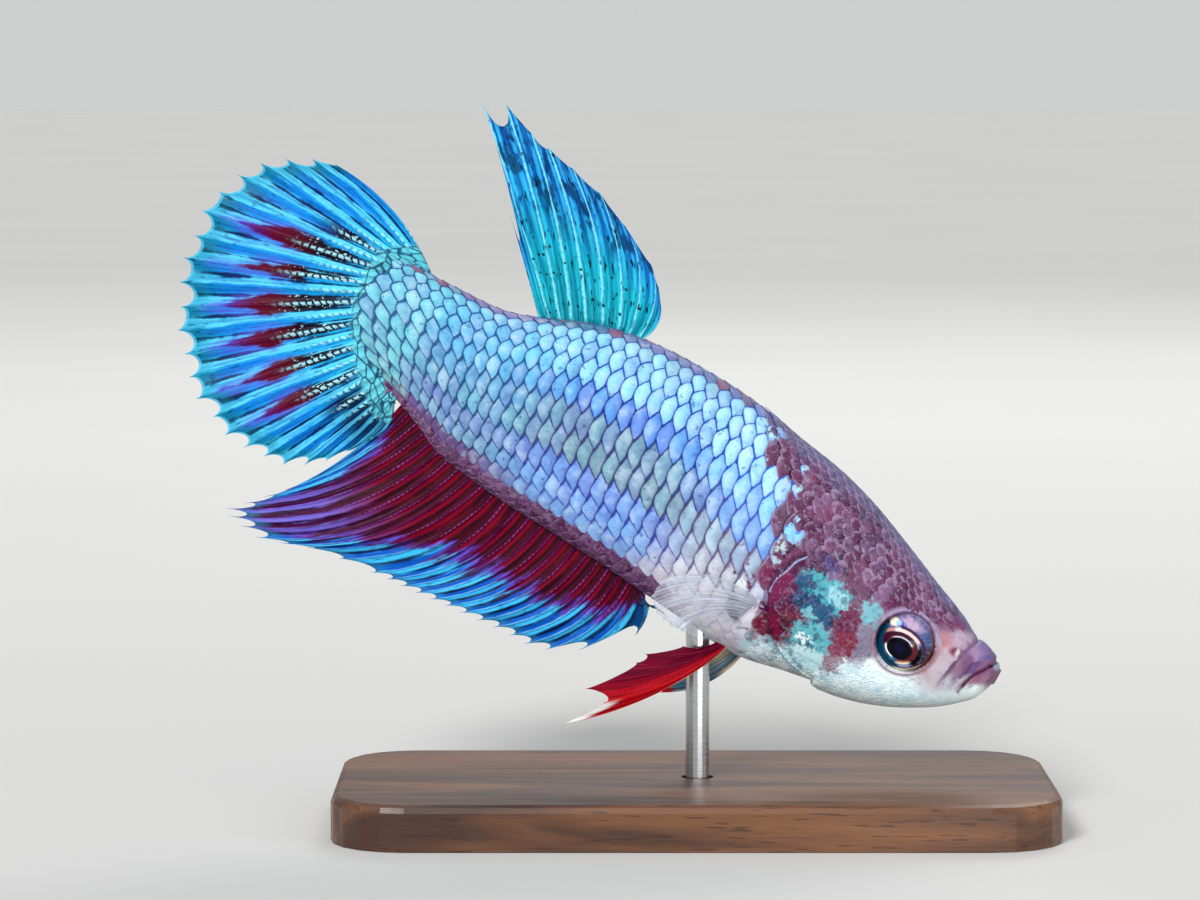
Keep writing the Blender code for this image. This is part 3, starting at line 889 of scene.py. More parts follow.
        islands = row.step(0.1, 0.19, 1, 0) * chance.step(0.8, 0.84)
        bare = front | islands | hem
        flank = flank.blend(islands, 0x8E6686)
        bench.give("Colour", flank.blend(front, head))
        bench.give("Edge", edge.blend(front, bench.blend(rise.step(-4, -1), 0xBEC8D6, 0xB0A0C0)))
        bench.give("Bare", bare)
        return made.tree

    @staticmethod
    def flank(bench: Bench, along: Signal, row: Signal, ragged: Signal,
              chance: Signal) -> tuple[Signal, Signal]:
        """Bands of the flank, and the colours of the scale edges there.

        Args:
            bench: Where they are laid out.
            along: Place along the body.
            row: Place round the body, 0 at the back and 1 at the belly.
            ragged: Noise that frays the bands.
            chance: Number of each scale.

        Returns:
            Colour of the scales and of their edges.
        """
        row = row + (ragged - 0.5) * 0.05
        shoulder = bench.ramp(row, {
            0: 0x747EA8, 0.11: 0x8896C4, 0.15: 0xB2E8FC, 0.33: 0xB0EAFF, 0.43: 0x80C4FC, 0.49: 0x7EA8E4,
            0.56: 0xA0B8CE, 0.64: 0xACB2C0, 0.74: 0xCECEE0, 0.9: 0xDCD6E4})
        middle = bench.ramp(row, {
            0: 0x707AA6, 0.11: 0x8292C0, 0.15: 0xA0E4FC, 0.34: 0x96DEFF, 0.375: 0x6CB4FA, 0.43: 0x5C80DE,
            0.448: 0x708AD2, 0.462: 0x7CA8BE, 0.56: 0x7EA8BA, 0.595: 0x7676A6, 0.615: 0x769CEA,
            0.77: 0x84B8F8, 0.8: 0x6A3C6C, 1: 0x5C2852})
        rear = bench.ramp(row, {
            0: 0x8878A8, 0.1: 0x8E8CBE, 0.14: 0x7CD0F2, 0.36: 0x6EC8F6, 0.46: 0x70ACDE, 0.55: 0x76BAD6,
            0.63: 0x7C98CE, 0.71: 0x78A8CE, 0.75: 0x70568A, 1: 0x5A2C58})
        root = bench.ramp(row, {0: 0x6EAABE, 0.15: 0x78D6E8, 0.45: 0x7CD4E8, 0.72: 0x7AC8D2, 1: 0x54788C})
        loose = along + ragged * 3.0
        tone = shoulder.blend(loose.step(22, 28.5), middle).blend(loose.step(33.5, 40), rear)
        tone = tone.blend(loose.step(44.4, 46.4), root)
        light = tone.blend(chance.step(0.25, 0.75, 0, 0.3), 0xD6F6FF, "SOFT_LIGHT")
        tone = light.blend(bench.math("FRACT", chance * 7.31).step(0.6, 0.95, 0, 0.28), 0x867AD6)
        edge = bench.ramp(row, {
            0.08: 0x46548C, 0.16: 0x0848AC, 0.36: 0x0034A8, 0.43: 0x102488, 0.5: 0x303C76,
            0.58: 0x38366C, 0.66: 0x2E42AA, 0.77: 0x323EA0, 0.82: 0x34123A})
        back = bench.ramp(row, {
            0.1: 0x424678, 0.2: 0x044A96, 0.5: 0x144C84, 0.68: 0x1E427C, 0.78: 0x281638})
        warm = bench.ramp(row, {0.44: 0x2A5CD0, 0.56: 0x6A5678, 0.72: 0x9686A2})
        edge = edge.blend(loose.step(33.5, 40), back).blend(loose.step(21.5, 27, 0.85, 0), warm)
        return tone, edge

    @staticmethod
    def head(bench: Bench, lie: Signal, row: Signal, chance: Signal) -> Signal:
        """Mauve of the head and nape, greyer towards the back.

        Args:
            bench: Where it is laid out.
            lie: Place on the body.
            row: Place round the body.
            chance: Number of each scale.

        Returns:
            The colour.
        """
        cloud = bench.noise(lie, 0.55, 3, 0.6)
        tone = bench.blend(cloud.step(0.38, 0.62), 0x521A46, 0x74385E)
        small = bench.noise(lie, 2.3, 3, 0.7)
        return tone.under(
            (chance.step(0.5, 0.95, 0, 0.55), 0x886892), (chance.step(0.3, 0, 0, 0.6), 0x4A1444),
            (small.step(0.54, 0.68, 0, 0.5), 0x927EA2), (small.step(0.46, 0.34, 0, 0.4), 0x3A0C38),
            ((row + cloud * 0.12).step(0.12, 0.28, 0.88, 0), 0x6C709A))

    @staticmethod
    def flecks(bench: Bench, lie: Signal, tone: Signal) -> Signal:
        """Small pale flecks and dark specks over the head.

        Args:
            bench: Where they are laid out.
            lie: Place on the body.
            tone: Colour under them.

        Returns:
            The colour with its flecks.
        """
        along, rise, _ = bench.parts(lie)
        fine = bench.noise(lie, 5.5, 3, 0.7)
        body = along.step(1.5, 6, 0.3, 1)
        chin = (along * 0.18 + rise).step(-3.6, -2.4, 1, 0)
        deep = bench.noise(lie, 3.1, 4, 0.7).step(0.36, 0.44, 0.45, 0)
        deep = deep * bench.math("SUBTRACT", body, chin, clamp=True)
        net = abs(bench.noise(lie * (0.7, 1.3, 1.3), 1.6, 2, 0.5, 1.2) - 0.5)
        net = net.step(0, 0.06, 0.6, 0) * chin
        return tone.under(
            (fine.step(0.6, 0.7, 0, 0.35) * body, 0xD6D2E2), (deep, 0x3C1840), (net, 0x88C8E0),
            (bench.noise(lie, 1.2, 3).step(0.46, 0.62, 0, 0.6) * chin, 0xB0D6E4))


# --- Skin


def coat_cover(lie: Array) -> Array:
    """How far the coat covers the skin: 0 on lips and chin, 1 on the flank.

    Args:
        lie: Rows of along, rise and side.

    Returns:
        Share from 0 to 1.
    """
    along, rise = lie[..., 0], lie[..., 1]
    crown = ease(along, 3, 6) * ease(rise - (0.9 - 0.02 * along), -0.3, 0.5)
    back = ease(along + 0.22 * rise, 15.6, 17.2)
    return np.clip(np.maximum(np.maximum(0.75 * crown, back), 0.3 * ease(along, 8.5, 9.6)), 0, 1)


@dataclass
class Skin:
    """One closed skin from the lips to the end of the tail stem."""

    form: BodyForm
    relief: HeadRelief
    coat_depth: float = 0.24
    around: int = 288
    head_rings: int = 150
    rings: int = 216
    head_length: float = 17.2
    cap_rings: int = 4
    nodes: tuple[str, ...] = (
        "head", "jaw_upper", "jaw_lower", "gill_cover_right", "gill_cover_left", "trunk", "tail")

    def ring_places(self) -> tuple[Array, Array, Array]:
        """Ring by ring: place along, share of the width, and forward shift of the round ends.

        Returns:
            Three arrays with one number for each ring.
        """
        form = self.form
        head = np.linspace(form.first, self.head_length, self.head_rings, endpoint=False)
        rear = np.linspace(self.head_length, form.last, self.rings - self.head_rings)
        body = np.concatenate([head, rear])
        bend = np.linspace(math.pi / 2, 0, self.cap_rings, endpoint=False)
        along = np.concatenate([np.full(self.cap_rings, form.first), body,
                                np.full(self.cap_rings, form.last)])
        width = np.concatenate([np.cos(bend), np.ones(len(body)), np.cos(bend)[::-1]])
        shift = np.concatenate([-0.12 * np.sin(bend), np.zeros(len(body)), 0.1 * np.sin(bend)[::-1]])
        return along, width, shift

    def build(self) -> Object:
        """Make the skin.

        Returns:
            The skin, with its places stored for the markings.
        """
        along, width, shift = self.ring_places()
        mesh, grid = sheet_mesh("skin", self.around, len(along) - 1)
        ring = np.rint(grid[:, 1] * (len(along) - 1)).astype(int)
        turn = 2 * math.pi * (grid[:, 0] % 1)
        plain = self.form.lie(along[ring], turn)
        grow = self.relief.offset(plain) - self.coat_depth * coat_cover(plain)
        full = self.form.lie(along[ring], turn, grow)
        full[:, 2] *= width[ring]
        full[:, 0] += shift[ring]
        set_points(mesh, self.form.world(full))
        fold = np.where(turn > math.pi, 2 * math.pi - turn, turn) / math.pi
        add_vectors(mesh, "lie", full)
        add_vectors(mesh, "row", np.stack([fold, np.full_like(fold, 0.5), fold * 0], -1))
        FaceLines.store(mesh, self.relief, full)
        add_map(mesh, "OFBake", unwrap(self.form, along[ring] + shift[ring],
                                       np.where(grid[:, 0] > 0.9999, 2 * math.pi - 1e-6, turn)))
        close_up(mesh, sharp=75)
        return new_object("skin", mesh)

    def dress(self, piece: Object, markings: Tree) -> None:
        """Give the skin its finish.

        Args:
            piece: The skin.
            markings: Group of the body's colours.
        """
        made, bench = Surface(0.38, 0.1, 0.1, 0.18).material("skin_finish")
        lie = bench.read("lie")
        row, chance, _ = bench.parts(bench.read("row"))
        tone = bench.group(markings, Lie=lie, Row=row, Chance=chance)
        bench.give("Base Color", FaceLines().paint(bench, lie, tone.colour))
        along = bench.parts(lie)[0]
        ripple = bench.math("SINE", bench.cells(lie * (1, 0.8, 0.8), 1.5) * 22)
        height = ripple * along.step(3.5, 5.5, 0, 0.16) + bench.noise(lie, 7, 4, 0.6)
        bench.bump(height, 0.55, 0.00009)
        bench.give("Roughness", bench.noise(lie, 2.2, 3).step(0.35, 0.7, 0.3, 0.46))
        piece.data.materials.append(made)
        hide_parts(*self.nodes)
        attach(piece, BODY)


@dataclass(frozen=True)
class FaceLines:
    """Thin coloured lines of the face: eye rim and gill cover, with painted shade in the lip creases and
    a painted shadow behind the gill cover.
    """

    lip_line: int = 0x5C305C
    rim: int = 0x967684
    rim_top: int = 0xAC9EC2
    cover: int = 0x969ECC

    def paint(self, bench: Bench, lie: Signal, tone: Signal) -> Signal:
        """Draw the lines over a colour.

        Args:
            bench: Where they are laid out.
            lie: Place on the body.
            tone: Colour under the lines.

        Returns:
            The colour with its lines.
        """
        crease, ring, band = bench.parts(bench.read("trace"))
        high = bench.parts(lie)[1].step(-1.4, 0)
        edge = bench.blend(high, self.rim, self.rim_top)
        wide = ring.step(0.34, 0.1, 0, 0.5)
        return tone.under(
            (wide, bench.blend(high, 0x866076, self.rim_top)), (ring.step(0.1, 0, 0, 0.85), edge),
            (band.step(-0.16, -0.08) * band.step(-0.02, 0.03, 0.85, 0), self.cover),
            # Painted shadow in dark plum just behind the gill cover's edge.
            (band.step(0, 0.04) * band.step(0.12, 0.5, 0.8, 0), 0x340E32),
            # Painted shade along the lip gape and the upper-lip fold.
            (crease.step(0.16, 0.02, 0, 0.75), self.lip_line))

    @staticmethod
    def store(mesh: Mesh, relief: "HeadRelief", lie: Array) -> None:
        """Store how far each vertex is from the lines.

        Args:
            mesh: Mesh that carries them.
            relief: Relief that has the same lines.
            lie: Places of the vertices.
        """
        lips = Trail(relief.gape).reach(lie)[0]
        fold = Trail(relief.grooves[1].corners).reach(lie)[0] * 1.5 + 0.05
        around = np.abs(relief.eye_gap(lie) - relief.eye_radius - 0.22)
        far, side, run = Trail(relief.cover_edge).reach(lie)
        edge = (far + 3 * ease(run, 0.52, 0.64)) * np.where(side > 0, 1, -1)
        add_vectors(mesh, "trace", np.stack([np.minimum(lips, fold), around, edge], -1))


# --- Scales


@dataclass(frozen=True)
class Lattice:
    """Rows and columns that scales sit on, each row half a scale behind the last."""

    rows: int = 15
    columns: int = 96
    pitches: Table = ((12, 1), (17, 1.02), (30, 0.98), (38, 0.9), (42, 0.76), (46, 0.62))

    def turn(self, row: Array) -> Array:
        """Angle round the body of a row, 0 at the ridge of the back."""
        j = row * 15 / self.rows
        return 0.2882 * j - 0.00525 * j**2 - 0.07 * np.sin(2 * math.pi * j / 15)

    def along(self, column: Array) -> Array:
        """Place along the body of a column.

        Args:
            column: Column number, whole or not.

        Returns:
            Place in millimetres, before the column leans.
        """
        fine = np.arange(0, 52, 0.05)
        places, sizes = np.array(self.pitches).T
        return np.interp(column, np.cumsum(0.05 / np.interp(fine, places, sizes)), fine)

    def place(self, form: BodyForm, column: Array, row: Array) -> tuple[Array, Array]:
        """Ring place and angle of a point of the lattice.

        Args:
            form: Body that carries it.
            column: Column number.
            row: Row number.

        Returns:
            Place along the body and angle round it.
        """
        turn = self.turn(row)
        along = self.along(column)
        _, middle, half, _ = form.section(along)
        rise = middle + half * np.cos(turn)
        return along + 0.27 * rise - 0.0225 * rise**2, turn


@dataclass(frozen=True)
class ScaleShape:
    """Outline and section of one scale, in row heights and column lengths."""

    half: float = 0.65
    front: float = -0.9
    rear: float = 0.5
    flat: float = 0.34
    bend: float = 9.0
    steps: tuple[float, ...] = (-1, -0.8, -0.58, -0.3, 0, 0.3, 0.58, 0.8, 1)
    bands: tuple[float, ...] = (0, 0.38, 0.68, 0.9, 1)
    thickness: float = 0.05
    dome: float = 0.045

    def rear_edge(self, u: Array) -> Array:
        """Rear edge at a share of the half height."""
        slant = self.rear * (1 - np.abs(u)) / (1 - self.flat)
        return -np.logaddexp(-self.bend * self.rear, -self.bend * slant) / self.bend

    def front_edge(self, u: Array) -> Array:
        """Front edge, hidden under the scale before it."""
        return self.front + 0.25 * u**2

    def rim_slope(self, u: Array) -> Array:
        """Share of the lengthwise gap to the rear edge that lies square to it."""
        return 1 - 0.45 * ease(np.abs(u), self.flat - 0.2, self.flat + 0.2)

    def open_edge(self, u: Array) -> Array:
        """Front end of the part that the scales before it leave open."""
        return self.rear - 1 + self.rear_edge(np.clip((1 / self.half - np.abs(u)), 0, 1))

    def template(self) -> Mesh:
        """One closed scale, with its patches of the bake map numbered.

        Returns:
            Mesh with places across, along and through the scale.
        """
        data = bmesh.new()
        rows = len(self.bands) - 1
        bmesh.ops.create_grid(data, x_segments=len(self.steps) - 1, y_segments=rows, size=0.5)
        lower = list(data.faces)
        raised = bmesh.ops.extrude_face_region(data, geom=lower, use_keep_orig=True)["geom"]
        bmesh.ops.translate(
            data, vec=(0, 0, 1), verts=[v for v in raised if isinstance(v, bmesh.types.BMVert)])
        bmesh.ops.recalc_face_normals(data, faces=data.faces)
        layer = data.loops.layers.uv.new("OFBake")
        for face in data.faces:
            middle = face.calc_center_median()
            rim = middle.y > 0.5 - 1 / rows
            plate = middle.z > 0.99
            for loop in face.loops:
                x, y, z = loop.vert.co
                if plate and not rim:
                    place = ((y + 0.5) * rows / (rows - 1), x + 0.5)
                elif rim and middle.z > 0.01:
                    place = (2 + (0.6 * ((y - 0.5) * rows + 1) if plate else 0.6 + 0.4 * (1 - z)),
                             x + 0.5)
                elif middle.z < 0.01:
                    place = (4 + 0.5 * (y + 0.5), x + 0.5)
                else:
                    place = (4.6 + 0.4 * z, (x + y + 1) / 2)
                loop[layer].uv = place
        bmesh.ops.dissolve_faces(data, faces=[face for face in lower if face.is_valid])
        return to_mesh(data, "scale")


def copies(template: Mesh, count: int, name: str) -> Mesh:
    """Joined copies of a mesh, one after another.

    Args:
        template: Mesh to repeat.
        count: How many.
        name: Name of the joined mesh.

    Returns:
        The joined mesh.
    """
    holder = new_object("scale_copies", template)
    array = holder.modifiers.new("copies", "ARRAY")
    array.count = count
    array.use_relative_offset = False
    bpy.context.view_layer.update()
    graph = bpy.context.evaluated_depsgraph_get()
    joined = bpy.data.meshes.new_from_object(holder.evaluated_get(graph))
    bpy.data.objects.remove(holder)
    joined.name = name
    return joined


class Zone(Enum):
    """Part of the body that a coat covers."""

    HEAD = "head"
    FLANK = "flank"


@dataclass
class ScaleCoat:
    """Overlapping scales of one zone, joined in one mesh."""

    name: str
    zone: Zone
    sides: tuple[Side, ...]
    rows: range
    form: BodyForm
    relief: HeadRelief
    lattice: Lattice
    slot: str
    shape: ScaleShape = ScaleShape()
    coat_depth: float = 0.24
    seed: int = 1
    own_place: float = 0.5
    upright: float = 0.9
    lift: float = 1.0
    patch: float = 0.0034

    def border(self, rise: Array) -> Array:
        """Where the small scales of the head end."""
        return np.interp(rise, (-8, -5.45, -4.3, -2, 0, 2, 4, 6, 7.3, 9),
                         (14, 14.8, 15.8, 16.9, 16.8, 16.9, 18, 19.8, 21.2, 22.6))

    def carries(self, lie: Array, ring: Array) -> Array:
        """Whether the coat has a scale at a place.

        Args:
            lie: Rows of along, rise and side.
            ring: Ring places.

        Returns:
            True where there is one.
        """
        along, rise = lie[..., 0], lie[..., 1]
        if self.zone is Zone.FLANK:
            return (along > self.border(rise) - 0.25) & (ring < self.form.last + 0.55)
        crown = (rise > 1.05 - 0.03 * along) & (along > 4.6)
        cheek = (along > 9.2) & ((rise > -5.2) | (along > 14.2))
        far, side, run = Trail(self.relief.cover_edge).reach(lie)
        clear = (far > np.where((side > 0) & (run < 0.6), 0.95, 0.58)) | (run <= 0.02)
        return (crown | cheek) & clear & (along < self.border(rise) + 0.15)

    def seats(self) -> tuple[Array, Array, Array]:
        """Rows, columns and sides of the scales.

        Returns:
            Three arrays with one number for each scale.
        """
        seats: list[Array] = []
        for side in self.sides:
            for row in self.rows:
                column = np.arange(0, self.lattice.columns) + 0.5 * (row % 2)
                along, turn = self.lattice.place(self.form, column, np.full(len(column), row))
                kept = column[self.carries(self.form.lie(along, turn * side.value), along)]
                seats.append(np.stack([kept * 0 + row, kept, kept * 0 + side.value]))
        row, column, side = np.concatenate(seats, axis=1)
        return row, column, side

    def build(self) -> Object:
        """Make the coat.

        Returns:
            The coat's object.
        """
        row, column, side = (part[:, None] for part in self.seats())
        lattice = self.lattice
        template = self.shape.template()
        size, corners = len(template.vertices), len(template.loops)
        mesh = copies(template, len(row), self.name)
        local = get_points(mesh).reshape(len(row), size, 3)
        chance, skew, swell = np.random.default_rng(self.seed).random((3, len(row), 1))

        shape = self.shape
        u = np.interp(local[..., 0], np.linspace(-0.5, 0.5, len(shape.steps)), shape.steps)
        t = np.interp(local[..., 1], np.linspace(-0.5, 0.5, len(shape.bands)), shape.bands)
        front, rear = shape.front_edge(u), shape.rear_edge(u)
        v = front + t * (rear - front)
        stretch = 1 + 0.08 * (swell - 0.5)
        down = row + u * shape.half * stretch
        across = column + v * stretch + 0.07 * (skew - 0.5) * u
        along, turn = lattice.place(self.form, across, down)
        upright = lattice.place(self.form, column, down)[0]
        seat_along, seat_turn = lattice.place(self.form, column, row)
        along -= (upright - seat_along) * (1 - ease(np.abs(u), 0.25, 1)) * self.upright
        plain = self.form.lie(along, turn * side)
        depth = self.coat_depth * coat_cover(plain)
        share = (v - shape.front) / (shape.rear - shape.front)
        top = np.clip(depth - 0.03, 0.012, None) * share - shape.dome * u**2 * share
        top *= 0.4 + 0.6 * ease(np.abs(np.sin(turn)), 0.05, 0.55)
        thick = shape.thickness * np.clip(depth / self.coat_depth + 0.25, 0.35, 1)
        grow = self.relief.offset(plain) - (depth - top) * self.lift - thick * (1 - local[..., 2])
        full = self.form.lie(along, turn * side, grow)
        set_points(mesh, self.form.world(full).reshape(-1, 3))

        seat = self.form.lie(seat_along, seat_turn * side)
        shown = seat * self.own_place + full * (1 - self.own_place)
        add_vectors(mesh, "lie", shown.reshape(-1, 3))
        fold = np.broadcast_to(seat_turn / math.pi, u.shape)
        luck = np.broadcast_to(chance, u.shape)
        add_vectors(mesh, "row", np.stack([fold, luck, skew + 0 * u], -1).reshape(-1, 3))
        pitch = np.interp(seat_along, *np.array(self.lattice.pitches).T)
        gap = (rear - v) * pitch * shape.rim_slope(u)
        lead = (v - shape.open_edge(u)) * pitch
        add_vectors(mesh, "plate", np.stack([u, gap, lead], -1).reshape(-1, 3))
        self.map_patches(mesh, row, column, side, corners)
        mesh.shade_smooth()
        mesh.set_sharp_from_angle(angle=math.radians(50))
        return new_object(self.name, mesh)

    def map_patches(self, mesh: Mesh, row: Array, column: Array, side: Array,
                    corners: int) -> None:
        """Lay each scale's plate, rim and underside as small patches at its place on the skin.

        Args:
            mesh: The joined scales.
            row: Row of each scale.
            column: Column of each scale.
            side: Side of each scale.
            corners: Face corners of one scale.
        """
        flat = np.zeros(len(mesh.loops) * 2, np.float32)
        layer = mesh.uv_layers["OFBake"]
        layer.data.foreach_get("uv", flat)
        code = flat.reshape(len(row), corners, 2).astype(float)
        part = np.clip(np.floor(code[..., 0] / 2), 0, 2)
        inside = np.stack([code[..., 0] - 2 * part, code[..., 1]], -1) - 0.5
        ahead = column + 0.4 * (part == 1)
        along, turn = self.lattice.place(self.form, ahead, row + 0.33 * (part == 2))
        places = unwrap(self.form, along, turn * side) + inside * self.patch
        layer.data.foreach_set("uv", np.clip(places, 0.001, 0.999).astype(np.float32).ravel())

    def dress(self, piece: Object, markings: Tree) -> None:
        """Give the scales their finish.

        Args:
            piece: The coat.
            markings: Group of the body's colours.
        """
        if self.zone is Zone.FLANK:
            finish = ScaleFinish(rim=0.075, rim_strength=0.95)
        else:
            finish = ScaleFinish(rim=0.09, rim_strength=0.7, shade=0.6, cheek=0.3, cloud=0.1, fray=1.4)
        piece.data.materials.append(finish.material(self.name + "_finish", markings))
        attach(piece, BODY)


def unwrap(form: BodyForm, along: Array, turn: Array) -> Array:
    """Place on the unwrapped skin of a ring place and an angle.

    Args:
        form: The body.
        along: Ring places.
        turn: Angles, from minus half a circle to a whole one.

    Returns:
        Map places from 0 to 1.
    """
    share = (along - form.first + 0.2) / (form.last - form.first + 1.6)
    return np.stack([0.002 + 0.996 * share, 0.002 + 0.996 * (turn / (2 * math.pi) % 1)], -1)


@dataclass(frozen=True)
class ScaleFinish:
    """Glossy scale with a dark rear rim and fine lines, a painted shadow at its open front, painted
    highlight patches, and painted shade that partly darkens it towards the rear rim.
    """

    rim: float
    rim_strength: float
    # Strength of the painted shadow at the open front of each scale.
    shade: float = 0.95
    cheek: float = 1.0
    # Strength of the painted highlight patches and of the dark pigment smudges.
    cloud: float = 0.34
    fray: float = 0.18
    surface: Surface = Surface(0.36, 0.12, 0.05, 0.14)

    def material(self, name: str, markings: Tree) -> Material:
        """Make the material.

        Args:
            name: Its name.
            markings: Group of the body's colours.

        Returns:
            The material.
        """
        made, bench = self.surface.material(name)
        lie, plate = bench.read("lie"), bench.read("plate")
        row, chance, skew = bench.parts(bench.read("row"))
        u, gap, lead = bench.parts(plate)
        tone = bench.group(markings, Lie=lie, Row=row, Chance=chance)
        grain = bench.noise(bench.join(u * 3.5, lead * 1.3, chance * 40), 1.5, 3, 0.6)
        colour = tone.colour
        cloud = bench.noise(lie, 1.7, 3, 0.6)
        # Painted highlights: pale white-cyan cloud patches over the scales, weaker on bare skin. The dark
        # cloud patches are pigment smudges in the edge colour.
        light = cloud.step(0.46, 0.68, 0, self.cloud) * (tone.bare * -0.8 + 1)
        colour = colour.under(
            (light, 0xE2F8FF), (cloud.step(0.48, 0.3, 0, self.cloud), tone.edge),
            (grain.step(0.44, 0.28, 0, 0.18), tone.edge))
        # Painted shadow: the open front of each scale, behind the rear edge of the scale before it, turns
        # to a darker copy of its colour (the edge colour on bare skin). It is widest in the middle rows,
        # with a softer painted shade further back.
        middle = row.step(0.36, 0.44) * row.step(0.6, 0.68, 1, 0)
        shadow = bench.blend(tone.bare, tone.edge, colour.blend(1, 0xA896B0, "MULTIPLY"))
        reach = skew * 0.06 + ((cloud - 0.5) * 0.2 + (middle * 0.1 + -0.02))
        front = lead.step(-0.09, reach, self.shade, 0) | lead.step(0, 0.6, 0.24, 0)
        rise = bench.parts(lie)[1]
        under = rise.step(-4, -5.5, 1, 0.45) * rise.step(0.2, 1.6, self.cheek, 1)
        colour = colour.blend(front * under, shadow)
        calm = (tone.bare * -0.55 + 1) * under
        # Darker towards the rear rim: partly pigment, partly painted shade.
        deep = gap.step(0, self.rim * 4, 0.3, 0) * calm
        colour = colour.blend(deep, bench.blend(0.45, tone.edge, colour))
        speck = bench.noise(lie, 4.5, 2, 0.6).step(0.64, 0.7, 0, 0.55) * calm
        colour = colour.blend(speck, tone.edge)
        frayed = (cloud - 0.5) * self.fray + gap
        rim = frayed.step(self.rim * 0.45, self.rim * 1.15, self.rim_strength, 0)
        colour = colour.blend(rim * calm, tone.edge)
        bench.give("Base Color", colour)
        bench.give("Roughness", grain.step(0.3, 0.7, 0.24, 0.42))
        bench.bump(bench.math("SINE", gap * 62) * 0.12 + grain, 0.5, 6e-05)
        return made


# --- Fins


def upright(x: Array, z: Array) -> Array:
    """Points of the fish's middle plane."""
    return np.stack([x, x * 0, z], -1)


@dataclass(frozen=True)
class Rays:
    """Fin rays, each a bowed line from its root to its tip."""

    roots: Array
    tips: Array
    bulges: Array
    sink: float = 0.8

    def one(self, number: Array, t: Array) -> Array:
        """Points on whole-numbered rays.

        Args:
            number: Ray numbers.
            t: Shares of the ray's length.

        Returns:
            Rows of x, y and z.
        """
        root, tip = self.roots[number], self.tips[number]
        arm = tip - root
        sunk = self.sink / np.linalg.norm(arm, axis=-1)
        t = t * (1 + sunk) - sunk
        side = np.stack([arm[..., 2], arm[..., 0] * 0, -arm[..., 0]], -1)
        side = side / np.linalg.norm(side, axis=-1, keepdims=True)
        bow = (4 * self.bulges[number] * t * (1 - t))[..., None]
        return root + arm * t[..., None] + side * bow

    def at(self, place: Array, t: Array) -> Array:
        """Points on the web between rays.

        Args:
            place: Ray numbers, whole or not.
            t: Shares of the length.

        Returns:
            Rows of x, y and z.
        """
        i = np.clip(np.floor(place).astype(int), 0, len(self.roots) - 2)
        f = (place - i)[..., None]
        return self.one(i, t) * (1 - f) + self.one(i + 1, t) * f


